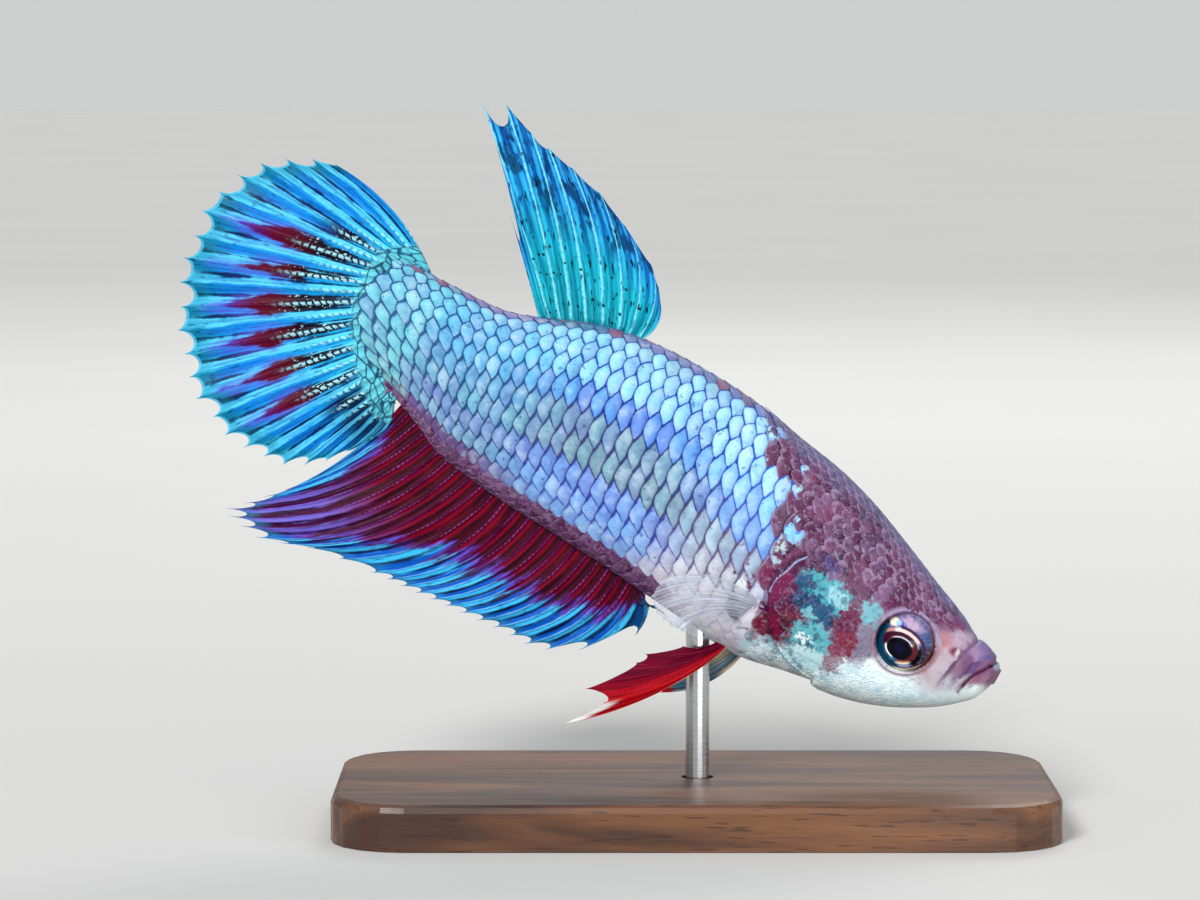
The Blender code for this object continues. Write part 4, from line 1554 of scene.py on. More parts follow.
@dataclass
class FinWeb:
    """Thin closed fin with raised rays and a scalloped edge."""

    name: str
    slot: str
    rays: Rays
    notches: tuple[float, ...]
    bow: Callable[[Array, Array, Array], Array]
    centre: tuple[float, float] = (0, 0)
    split: int = 1
    rows: int = 46
    ray_half: float = 0.17
    web_half: float = 0.05
    pleat: float = 0.1
    shares: tuple[float, ...] = (0, 0.05, 0.12, 0.22, 0.38, 0.5, 0.62, 0.78, 0.88, 0.95)

    def surface(self, s: Array, t: Array) -> Array:
        """Middle surface of the fin.

        Args:
            s: Ray numbers.
            t: Shares of the length.

        Returns:
            Rows of x, y and z.
        """
        count = len(self.rays.roots) - 1
        i = np.clip(np.floor(s).astype(int), 0, count - 1)
        f = np.clip(s - i, 0, 1)
        hollow = np.sqrt(np.clip(4 * f * (1 - f), 0, 1))
        reach = np.linalg.norm(self.rays.at(s, s * 0 + 1) - self.rays.at(s, s * 0), axis=-1)
        short = 1 - np.minimum(np.array(self.notches)[i] * hollow / reach, 0.8)
        return self.bow(self.rays.at(s, t * short), s / count, t)

    def build(self) -> Object:
        """Make the fin.

        Returns:
            The fin's object.
        """
        count = len(self.rays.roots) - 1
        gaps = count * self.split
        steps = (np.arange(gaps)[:, None] + np.array(self.shares)).ravel()
        steps = np.unique(np.concatenate([[0, 0.02], steps, [gaps - 0.02, gaps]])) / self.split
        last = len(steps) - 1
        mesh, grid = sheet_mesh(self.name, 2 * last, self.rows)
        column = np.rint(grid[:, 0] * 2 * last).astype(int)
        left = np.where(column > last, 1, -1)
        s = steps[np.where(column > last, 2 * last - column, column)]
        t = grid[:, 1]

        point = self.surface(s, t)
        ahead = self.surface(np.clip(s + 0.3, 0, count), t)
        back = self.surface(np.clip(s - 0.3, 0, count), t)
        inner = self.surface(s, np.clip(t - 0.03, 0, 1))
        normal = np.cross(ahead - back, self.surface(s, np.clip(t + 0.03, 0, 1)) - inner)
        normal /= np.linalg.norm(normal, axis=1, keepdims=True) + 1e-12
        normal *= np.where(normal[:, 1:2] < 0, -1, 1)

        beat = s * self.split
        near = np.abs(beat - np.rint(beat))
        whole = np.clip(np.floor(beat), 0, gaps - 1) / self.split
        span = np.linalg.norm(self.surface(whole + 1 / self.split, t) - self.surface(whole, t), axis=1)
        distance = near * span
        ray = np.exp(-((distance / (0.15 - 0.06 * t)) ** 2))
        half = self.web_half * (1 - 0.4 * t) + self.ray_half * (1 - 0.75 * t) * ray
        ends = ease(s * self.split, 0, 0.04) * ease((count - s) * self.split, 0, 0.04)
        half *= ends * (1 - t**14) * ease(t, 0, 0.02)
        billow = self.pleat * ease(t, 0.05, 0.5) * np.sin(math.pi * beat) ** 2
        billow = billow * np.sin(beat * 2.1 + 0.7)
        set_points(mesh, point + normal * (half * left + billow)[:, None])

        length = np.linalg.norm(self.surface(s, t) - self.surface(s, t * 0), axis=1)
        radius = np.hypot(point[:, 0] - self.centre[0], point[:, 2] - self.centre[1])
        add_vectors(mesh, "fan", np.stack([beat, t, length], -1))
        add_vectors(mesh, "web", np.stack([distance, radius, left], -1))
        wide = 0.49 * s / count
        places = np.where(left > 0, 0.995 - wide, 0.005 + wide)
        add_map(mesh, "OFBake", np.stack([places, 0.005 + 0.99 * t], -1))
        close_up(mesh, sharp=80)
        return new_object(self.name + "_rayed", mesh)

    def dress(self, piece: Object, finish: "FinFinish", pattern: Tree) -> None:
        """Give the fin its finish.

        Args:
            piece: The fin.
            finish: Its finish.
            pattern: Group of the ray pattern.
        """
        piece.data.materials.append(finish.material(self.name + "_finish", pattern))
        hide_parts(self.name)
        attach(piece, BODY)


def ray_pattern() -> Tree:
    """Shader group with the masks that every fin uses: rays, beads, lines, streaks, dashes, and a band
    that is partly painted shade across each web.

    Returns:
        The group's tree.
    """
    labels = ("Ray", "Core", "Bead", "Line", "Fork", "Streak", "Band", "Dash", "Wobble", "Spot", "Height")
    made = Group(
        "fin_rays",
        {"Fan": (Kind.VECTOR, (0, 0, 0)), "Web": (Kind.VECTOR, (0, 0, 0)),
         "Beads": (Kind.NUMBER, 2), "Gaps": (Kind.NUMBER, 0.11)},
        {label: Kind.NUMBER for label in labels})
    bench = made.bench
    s, t, length = bench.parts(made.take("Fan"))
    distance, _, side = bench.parts(made.take("Web"))

    def lengthwise(across: float, along: float, shift: float) -> Signal:
        """Place stretched along the rays."""
        return bench.join(s * across, length * along, side * 3 + shift)

    wobble = bench.noise(lengthwise(1.3, 0.4, 0), 1, 3, 0.6)
    loose = wobble - 0.5
    middle = abs(bench.math("FRACT", s) - 0.5)
    double = abs(bench.math("FRACT", s * 2) - 0.5)
    line = (loose * 0.45 + middle).step(0.02, made.take("Gaps"), 1, 0)
    fork = (loose * 0.8 + double).step(0.04, 0.16, 1, 0) * t.step(0.35, 0.55)
    streak = bench.noise(lengthwise(5.5, 0.24, 11), 1, 4, 0.6)
    beat = length * made.take("Beads") + (wobble * 1.6 + s)
    bead = abs(bench.math("FRACT", beat) - 0.5).step(0.24, 0.42, 1, 0)
    dash = bench.noise(lengthwise(7, 1.1, 23), 1, 1, 0.5)
    jag = (bench.noise(lengthwise(3.4, 2.6, 31), 1, 2, 0.6) - 0.5) * 0.26 + distance
    ray = jag.step(0.05, 0.18, 1, 0)
    loose = (dash - 0.5) * 0.16 + distance
    spot = bench.cells(lengthwise(2.2, 1.7, 5), 1)
    ridge = ray * bead * 0.6
    # Band: streaks mixed with painted shade, lighter on the rays and darker towards the middle of each
    # web.
    band = bench.math("COSINE", (wobble * 0.5 + s) * (2 * math.pi)) * 0.2 + (streak * 0.9 + 0.05)
    values = (
        ray, loose.step(0.03, 0.09, 1, 0), bead, line, fork, streak, band, dash.step(0.63, 0.7), wobble,
        spot.step(0.16, 0.21, 1, 0), ridge + streak)
    for label, value in zip(labels, values):
        bench.give(label, value)
    return made.tree


@dataclass(frozen=True)
class FinFinish:
    """Finish of a fin. Each kind of fin paints its own colours."""

    beads: float = 2.0
    gaps: float = 0.11
    surface: Surface = Surface(0.4, 0.08, 0, 0.15)
    clear: bool = False

    def material(self, name: str, pattern: Tree) -> Material:
        """Make the material.

        Args:
            name: Its name.
            pattern: Group of the ray pattern.

        Returns:
            The material.
        """
        made, bench = self.surface.material(name)
        fan, web = bench.read("fan"), bench.read("web")
        cues = bench.group(pattern, Fan=fan, Web=web, Beads=self.beads, Gaps=self.gaps)
        s, t, length = cues.s, cues.t, cues.length = bench.parts(fan)
        bench.give("Base Color", self.paint(bench, cues))
        if self.clear:
            film = t.step(0, 0.4, 0.36, 0.08)
            veil = bench.noise(bench.join(s * 0.55, length * 0.16, 4), 1, 2)
            film = cues.streak.step(0.42, 0.62) * 0.14 + (veil.step(0.44, 0.58) * 0.36 + film)
            film = (cues.core * 0.1 + film + t.step(0.95, 0.99, 0, 0.12)) * s.step(6, 10, 1, 0.35)
            bench.give("Alpha", bench.math("MINIMUM", film, 0.95))
        bench.give("Roughness", cues.streak.step(0.3, 0.7, 0.28, 0.46))
        bench.bump(cues.height, 0.6, 7e-05)
        return made

    def paint(self, bench: Bench, cues: SimpleNamespace) -> Signal:
        """Colour of the fin."""
        raise NotImplementedError


@dataclass(frozen=True)
class CaudalFinish(FinFinish):
    """Blue fan with dark wedges that turn wine red and then violet."""

    first_wedge: float = 3.9
    wedge_step: float = 2.01
    span: float = 24.0
    sizes: Table = (
        (4, 0.75), (6, 1), (7.9, 0.45), (10, 1), (12, 0.75), (14, 0.8), (16, 0.65), (18, 0.55))

    def paint(self, bench: Bench, cues: SimpleNamespace) -> Signal:
        """Colour of the tail fin.

        Args:
            bench: Where it is laid out.
            cues: Masks of its rays.

        Returns:
            The colour.
        """
        s, t, length = cues.s, cues.t, cues.length
        tone = bench.ramp(t, {
            0: 0x46C8DE, 0.16: 0x22BAE8, 0.4: 0x16A6EC, 0.62: 0x1494EA, 0.8: 0x1088DE, 0.9: 0x0684BA,
            1: 0x148CA4})
        foot = s.step(15, 18.5, 0, 0.95) * length.step(3.4, 6.2, 1, 0)
        foot = foot * cues.band.step(0.46, 0.72, 1, 0.45)
        seat = cues.ray * t.step(0.25, 0.5, 1, 0)
        phase = bench.math("FRACT", (s - self.first_wedge) / self.wedge_step + 0.5)
        frayed = (cues.wobble - 0.5) * 0.9 + abs(phase - 0.5) * self.wedge_step
        frayed = (cues.streak - 0.5) * 0.7 + frayed
        grey = {place / self.span: (value,) * 3 + (1,) for place, value in self.sizes}
        wide = t.step(0, 0.52, 0.26, 0.74) * t.step(0.58, 0.88, 1, 0) * bench.ramp(s / self.span, grey)
        plain = s.step(4.6, 5.1, 1, 0) | s.step(16.9, 17.3, 0, 1)
        halo = (frayed - wide).step(0, 0.5, 0.45, 0) * (1 - plain)
        halo = halo * (t.step(0.45, 0.62) * t.step(0.86, 0.97, 1, 0))
        core = bench.ramp(t, {
            0: 0x146E96, 0.16: 0x04325A, 0.3: 0x02081E, 0.44: 0x0E0010, 0.52: 0x480018, 0.66: 0x5C0028,
            0.74: 0x541068, 0.86: 0x4640C8})
        flecks = cues.bead * cues.ray
        spots = bench.noise(bench.join(s * 5, length * 3.2, 1), 1, 2).step(0.6, 0.66)
        flecks = (flecks | spots) * t.step(0.42, 0.6, 0.9, 0)
        core = core.blend(flecks, 0xB0E8F6).blend(plain * t.step(0.36, 0.5), 0x082264)
        inside = (frayed - wide).step(-0.16, 0.04, 1, 0)
        plain = plain * t.step(0.4, 0.62) | (s.step(2.9, 3.2, 1, 0) | s.step(18.9, 19.2, 0, 1))
        inside = inside * (1 - plain)
        tips = t.step(0.88, 0.96, 0, 0.7)
        # The band mask carries painted shade across each web as well as streaks. Here it lightens and
        # darkens the teal tips and the dark foot.
        teal = bench.blend(cues.band.step(0.38, 0.62), 0x067092, 0x32A6CC)
        teal = teal.blend(cues.line * 0.6, 0x00283C)
        base = (cues.wobble * 1.6 + length).step(2.9, 3.3, 1, 0)
        plates = bench.cells(bench.join(s * 0.62, length * 1.7, 0), 1, "DISTANCE_TO_EDGE")
        return tone.under(
            # Lighter and darker bands by the band mask: pigment streaks and painted shade across each
            # web.
            (cues.band.step(0.48, 0.7, 0, 0.85), 0x5CD8FF),
            (cues.band.step(0.42, 0.22, 0, 0.6), 0x0060CC), (cues.fork * 0.4, 0x00348C),
            (foot, 0x022240), (cues.line * t.step(0.03, 0.12, 0.4, 0.95), 0x001042),
            (seat * cues.bead, 0xA0ECFA), (cues.dash * 0.55, 0x04286E), (halo, 0x605CDE), (inside, core),
            (tips, teal), (tips * cues.dash, 0x001622), (t.step(0.98, 0.99, 0, 0.6), 0x60CEF4),
            (base * 0.8, 0x68D0DE), (plates.step(0.03, 0.1, 0.9, 0) * base, 0x003C64))


@dataclass(frozen=True)
class AnalFinish(FinFinish):
    """Wine red web with finely beaded purple rays, blue towards the edge."""

    span: float = 25.0
    reach: float = 1.2
    borders: Table = (
        (0, 0.12), (3, 0.38), (7, 0.46), (15, 0.48), (18, 0.72), (20, 1.15), (21.7, 1.15), (22.6, 0.45),
        (25, 0.1))

    def paint(self, bench: Bench, cues: SimpleNamespace) -> Signal:
        """Colour of the anal fin.

        Args:
            bench: Where it is laid out.
            cues: Masks of its rays.

        Returns:
            The colour.
        """
        s, t = cues.s, cues.t
        # Dark and bright web, lilac and blue by the band mask: pigment streaks and painted shade across
        # each web.
        web = bench.blend(cues.band.step(0.35, 0.65), 0x3E0018, 0x7E0022)
        web = web.blend(cues.line * 0.8, 0x1C0014)
        inner = web.blend(cues.ray, bench.blend(cues.wobble.step(0.4, 0.6), 0x34002E, 0x580846))
        inner = inner.blend(cues.core * cues.bead * cues.streak.step(0.42, 0.6, 0, 0.6), 0xAA548E)
        long = s.step(16, 19, 0, 0.95) * t.step(0.3, 0.75)
        lilac = bench.blend(cues.band.step(0.4, 0.62), 0x42003C, 0x7468D6)
        inner = inner.blend(long, lilac.blend(cues.line, 0x1E0028))
        blue = bench.blend(cues.band.step(0.34, 0.66), 0x0054BC, 0x3CBCF6)
        blue = blue.under(
            (cues.core * 0.5, 0x8CD6FF), (cues.line * 0.95, 0x020830), (cues.dash * 0.6, 0x021E46))
        shift = (cues.streak - 0.5) * 0.4 + ((cues.wobble - 0.5) * 0.6 + t)
        grey = {place / self.span: (value / self.reach,) * 3 + (1,) for place, value in self.borders}
        along = shift - bench.ramp(s / self.span, grey) * self.reach
        violet = bench.blend(cues.streak.step(0.4, 0.6), 0x4E0860, 0x6846C8)
        violet = violet.blend(cues.line * 0.9, 0x180028)
        tone = inner.blend(along.step(-0.06, 0.06), violet).blend(along.step(0.03, 0.18), blue)
        tone = tone.blend(t.step(0.9, 0.99, 0, 0.6), 0x2878AA)
        return tone.blend(s.step(0.8, 2.6, 0.8, 0) * cues.band.step(0.4, 0.62, 1, 0.2), 0x002E48)


@dataclass(frozen=True)
class DorsalFinish(FinFinish):
    """Turquoise low down, blue at the tip, with black dashes along the rays."""

    def paint(self, bench: Bench, cues: SimpleNamespace) -> Signal:
        """Colour of the dorsal fin.

        Args:
            bench: Where it is laid out.
            cues: Masks of its rays.

        Returns:
            The colour.
        """
        t = cues.t
        tone = bench.ramp(t, {0: 0x068CA0, 0.35: 0x06A4BE, 0.7: 0x0A74CE, 1: 0x0E4CAA})
        pale = cues.ray * cues.streak.step(0.38, 0.52, 0.1, 1)
        pale = pale | cues.core * cues.wobble.step(0.4, 0.5, 0.2, 1)
        shade = cues.wobble.step(0.5, 0.6) * t.step(0.35, 0.65, 0, 0.8) * (1 - cues.core)
        return tone.under(
            (cues.streak.step(0.46, 0.66, 0, 0.8), bench.blend(t, 0x28D0DC, 0x2CACFA)),
            (cues.streak.step(0.44, 0.3, 0, 0.9), 0x003E5C), (cues.line * 0.45, 0x002C54),
            (cues.fork * 0.5, 0x3CCEF0), (pale, 0x78E2F6), (shade, 0x002854),
            ((cues.dash | cues.spot * t.step(0.3, 0.55, 1, 0)) * 0.95, 0x000816))


@dataclass(frozen=True)
class PelvicFinish(FinFinish):
    """Deep red with a pale tip on its longest ray, or cream and blue with red tips."""

    low: int = 0xB0000E
    high: int = 0x680028
    streak: int = 0xD62C42
    shade: int = 0x340012
    hem: int = 0xEECEAA
    tip: int = 0xF4F4F2
    last: float = 2.2

    def paint(self, bench: Bench, cues: SimpleNamespace) -> Signal:
        """Colour of the pelvic fin.

        Args:
            bench: Where it is laid out.
            cues: Masks of its rays.

        Returns:
            The colour.
        """
        s, t = cues.s, cues.t
        tone = bench.blend(s.step(1.8, 5.4), self.low, self.high)
        jag = (cues.streak - 0.5) * 0.12 + t
        ends = jag.step(0.86, 0.94) * s.step(self.last - 0.7, self.last, 1, 0)
        return tone.under(
            (cues.streak.step(0.52, 0.75, 0, 0.7), self.streak),
            (cues.streak.step(0.46, 0.24, 0, 0.9), self.shade), (cues.line * 0.6, self.shade),
            (s.step(0.5, 1.3, 0.85, 0) * jag.step(0.3, 0.5, 1, 0), self.hem), (ends, self.tip))


@dataclass(frozen=True)
class PectoralFinish(FinFinish):
    """Clear web between pearl rays."""

    def paint(self, bench: Bench, cues: SimpleNamespace) -> Signal:
        """Colour of the pectoral fin.

        Args:
            bench: Where it is laid out.
            cues: Masks of its rays.

        Returns:
            The colour.
        """
        s = cues.s
        tone = bench.blend(cues.streak.step(0.4, 0.64), 0x9CA8C0, 0xE2E6F0)
        tone = tone.blend(s.step(7, 10, 0, 0.6), 0x6EBEC8)
        tone = tone.blend(bench.math("SUBTRACT", cues.ray, cues.core, clamp=True) * 0.15, 0x8C92AA)
        return tone.blend(cues.core * 0.3, 0xD6DAE8)


@dataclass
class Fins:
    """All seven fins."""

    form: BodyForm
    root_gap: float = 0.25
    dorsal_rays: Table = (
        (-2.95, 32.75, -2.3, 34.8, 0.3), (-3.4, 32.95, -2.95, 37.4, 0.55),
        (-4.2, 33.25, -4.65, 39.9, 0.75), (-5, 33.65, -6.35, 42.15, 0.6), (-6.15, 34.1, -8.2, 43.8, 0.6),
        (-7.3, 34.25, -9.8, 45.2, 0.45), (-8.3, 34.3, -10.9, 46.1, 0.35), (-9.1, 34.3, -12.6, 48, 0.3),
        (-9.9, 34.35, -14.2, 48.2, 0.1), (-10.6, 34.4, -12.6, 41.45, 0.05))
    anal_tips: Table = (
        (-2.85, -1.75, 13.65), (-3.4, -4.1, 12.4), (-3.9, -7.5, 11.5), (-4.8, -10.7, 11.5),
        (-6.6, -13.4, 13), (-8.7, -16.5, 14.4), (-11.3, -19.8, 15.75), (-13.2, -22, 16.75),
        (-14.2, -25.3, 18.15), (-16, -29.5, 18.85), (-17.9, -31.8, 20.8), (-19.6, -27.1, 22.2))
    caudal_centre: tuple[float, float] = (-20.8, 32.25)
    caudal_reach: Table = (
        (106, 12.2), (118, 13.8), (135, 15), (155, 14.8), (175, 14.2), (200, 13.3), (220, 11.9),
        (236, 10.4), (250, 8.1), (257, 6.7))
    pectoral_root: Table = ((3.35, -4.3, 16), (2.3, -3.65, 13.95))
    pectoral_tips: Table = (
        (-2.4, -5.6, 16.9), (-3.05, -6.3, 15.9), (-2.75, -7, 14.9), (-1.75, -7.5, 14.1),
        (-0.35, -7.6, 13.45), (1.1, -7, 13))
    pelvic_right: Table = (
        (2.05, -1, 11.8, -8.9, -2.9, 6.95), (1.95, -1, 11.85, -6.1, -2.7, 8.4),
        (1.8, -1, 11.9, -7.35, -2.6, 9.3), (1.65, -1, 11.95, -3.95, -2.1, 11),
        (1.45, -1, 12, -3.4, -1.9, 11.55), (1.15, -1, 12.1, -0.9, -1.5, 12.05))
    pelvic_left: Table = (
        (3.25, 1, 11.15, -2.3, 2.4, 8.35), (2.85, 1, 11.2, -2.7, 2.3, 9),
        (2.35, 1, 11.3, -3.2, 2.2, 9.7), (2.05, 1, 11.45, -2.5, 2, 10.4),
        (1.75, 1, 11.6, -1.4, 1.8, 10.9), (1.45, 1, 11.75, -0.4, 1.5, 11.4))

    def in_swing(self, size: float, beat: float) -> Callable[[Array, Array, Array], Array]:
        """Bow of a fin of the middle plane: the fish's curve and a wave.

        Args:
            size: Height of the wave.
            beat: How quickly it runs along the fin.

        Returns:
            Function of points, share across and share along.
        """
        def bow(point: Array, share: Array, t: Array) -> Array:
            """Move points sideways."""
            y = self.form.swing_at(point[..., 0], point[..., 2]) + size * t * np.sin(beat * share)
            return point + np.stack([y * 0, y, y * 0], -1)
        return bow

    def dorsal(self) -> FinWeb:
        """Tall narrow fin on the back."""
        x, z, tip_x, tip_z, bulges = np.array(self.dorsal_rays).T
        rays = Rays(upright(x, z), upright(tip_x, tip_z), bulges)
        return FinWeb("dorsal_fin", "dorsal_web", rays,
                      (0.2, 0.3, 0.3, 0.3, 0.3, 0.5, 0.2, 1.7, 5.2), self.in_swing(0.25, 7))

    def anal(self) -> FinWeb:
        """Long fin under the belly and the tail stem."""
        part = np.linspace(0, 1, 26)
        root = self.form.world(
            self.form.lie(22.2 + 23 * part ** 1.12, part * 0 + math.pi, self.root_gap))
        root[:, 1] = 0.0
        x, tip_x, tip_z = np.array(self.anal_tips)[::-1].T
        tip = upright(np.interp(root[:, 0], x, tip_x), np.interp(root[:, 0], x, tip_z))
        sag = 0.11 - 0.06 * ease(part, 0.76, 1)
        rays = Rays(root, tip, -sag * np.linalg.norm(tip - root, axis=1))
        return FinWeb("anal_fin", "anal_web", rays, (1.4,) * 3 + (0.85,) * 13 + (1.3,) * 9,
                      self.in_swing(0.35, 14))

    def caudal(self) -> FinWeb:
        """Round tail fin, a fan from the end of the tail stem."""
        part = np.linspace(0, 1, 24)
        angles, reaches = np.array(self.caudal_reach).T
        angle = angles[0] + (angles[-1] - angles[0]) * part
        slopes = np.gradient(reaches, angles)
        i = np.clip(np.searchsorted(angles, angle) - 1, 0, len(angles) - 2)
        step = angles[i + 1] - angles[i]
        t = (angle - angles[i]) / step
        reach = glide(reaches[i], reaches[i + 1], slopes[i], slopes[i + 1], t, step)
        count = np.arange(len(part))
        reach += (0.18 * np.sin(2.4 * count) - 0.14) * np.sin(math.pi * part)
        depths = 0.45 + 0.55 * np.abs(np.sin(1.9 * count[:-1]))
        bearing = np.radians(angle)
        tip = upright(self.caudal_centre[0] + reach * np.cos(bearing),
                      self.caudal_centre[1] + reach * np.sin(bearing))
        top = np.clip(1 - part / 0.12, 0, None)
        foot = np.clip(1 - (1 - part) / 0.12, 0, None)
        lie = self.form.lie(self.form.last - 1.1 * top, math.pi * (0.02 + 0.96 * part))
        root = self.form.world(lie)
        away = upright(root[:, 0] + 17, root[:, 2] - 32.5)
        root += away / np.linalg.norm(away, axis=1, keepdims=True) * self.root_gap
        root[:, 1] = 0.0
        return FinWeb("caudal_fin", "caudal_web", Rays(root, tip, 0.8 * top - 0.8 * foot),
                      tuple(depths), self.in_swing(0.35, 16), centre=self.caudal_centre)

    def pectoral(self, side: Side) -> FinWeb:
        """Fan behind a gill cover.

        Args:
            side: Its side.

        Returns:
            The fin.
        """
        part = np.linspace(0, 1, 11)[:, None]
        first, last = np.array(self.pectoral_root)
        table = np.array(self.pectoral_tips)
        places = part[:, 0] * (len(table) - 1)
        tip = np.stack([np.interp(places, np.arange(len(table)), table[:, k]) for k in range(3)], -1)
        flip = np.array([1, -float(side.value), 1])

        def bow(point: Array, _: Array, t: Array) -> Array:
            """Cup the fin towards the body."""
            y = -0.7 * t * (1 - t) * side.value
            return point + np.stack([y * 0, y, y * 0], -1)

        rays = Rays((first + (last - first) * part) * flip, tip * flip, np.linspace(0.75, 0.3, 11))
        return FinWeb("pectoral_fin_" + side.word, "pectoral_web", rays, (0.15,) * 10, bow,
                      rows=30, ray_half=0.05, web_half=0.03, pleat=0.04)

    def pelvic(self, side: Side) -> "FinWeb":
        """Narrow fin under the breast.

        Args:
            side: Its side.

        Returns:
            The fin.
        """
        table = np.array(self.pelvic_right if side is Side.RIGHT else self.pelvic_left)
        rays = Rays(table[:, :3], table[:, 3:], np.linspace(-0.75, -0.2, 6))
        return FinWeb("pelvic_fin_" + side.word, "pelvic_web", rays, (0.3, 0.7, 0.5, 0.4, 0.4),
                      lambda point, share, t: point, split=2, rows=40, ray_half=0.12, pleat=0.04)

    def make(self) -> list[Object]:
        """Build and dress every fin.

        Returns:
            The fins.
        """
        pattern = ray_pattern()
        far = PelvicFinish(low=0x46708A, high=0xC4BA9E, streak=0xF6EACE,
                           shade=0x061C36, tip=0x960614, last=12)
        plan: list[tuple[FinWeb, FinFinish]] = [
            (self.dorsal(), DorsalFinish(gaps=0.16)), (self.anal(), AnalFinish(beads=2.8, gaps=0.2)),
            (self.caudal(), CaudalFinish()),
            (self.pectoral(Side.RIGHT), PectoralFinish(beads=2, clear=True)),
            (self.pectoral(Side.LEFT), PectoralFinish(beads=2, clear=True)),
            (self.pelvic(Side.RIGHT), PelvicFinish()), (self.pelvic(Side.LEFT), far)]
        made = []
        for fin, finish in plan:
            piece = fin.build()
            fin.dress(piece, finish, pattern)
            made.append(piece)
        return made


# --- Eyes, stand and studio


@dataclass(frozen=True)
class Arc:
    """Coloured part of a ring round the pupil or round the whole eye."""

    radius: float
    half: float
    middle: float
    span: float
    colour: int
    strength: float = 1.0
    pupil: bool = True

    def mask(self, bench: Bench, angle: Signal, reach: Signal) -> Signal:
        """Mask of the arc.

        Args:
            bench: Where it is laid out.
            angle: Angle round the ring's centre, from the front and upwards.
            reach: Distance from the centre, in pupil sizes for rings round the pupil.

        Returns:
            1 inside and 0 outside.
        """
        turn = bench.math("COSINE", angle - math.radians(self.middle))
        edge = math.cos(math.radians(self.span))
        ends = turn.step(edge - 0.06, edge + 0.1)
        band = abs(reach - self.radius).step(self.half * 0.6, self.half * 1.3, self.strength, 0)
        return band * ends


EYE_ARCS = (
    Arc(2.02, 0.14, 64, 52, 0x3A2644), Arc(1.7, 0.16, 86, 40, 0xE2C4BE),
    Arc(1.72, 0.14, 136, 16, 0xDE9678), Arc(1.52, 0.1, 34, 18, 0xBCB4B6),
    Arc(1.36, 0.18, 100, 62, 0x36101C), Arc(1.3, 0.26, 176, 28, 0x3A0026),
    Arc(1.36, 0.13, 44, 22, 0x0A060E), Arc(1.62, 0.2, 0, 36, 0x0A080C),
    Arc(1.22, 0.12, 10, 38, 0x6E1208), Arc(1.26, 0.1, -55, 20, 0xD6742E),
    Arc(1.42, 0.09, -55, 24, 0xF6EAD6), Arc(1.22, 0.12, -94, 18, 0x1482AA),
    Arc(1.08, 0.07, -134, 36, 0xECF0F4), Arc(1.08, 0.05, 92, 50, 0xCCCCD2),
    Arc(1.1, 0.06, 142, 8, 0xA05424), Arc(1.7, 0.2, -139, 60, 0x003A56, 1, False),
    Arc(1.84, 0.11, -58, 30, 0xFAEECC, 1, False), Arc(1.86, 0.08, 0, 60, 0x783E32, 0.9, False),
    Arc(1.88, 0.07, 100, 46, 0x968EB4, 0.6, False))


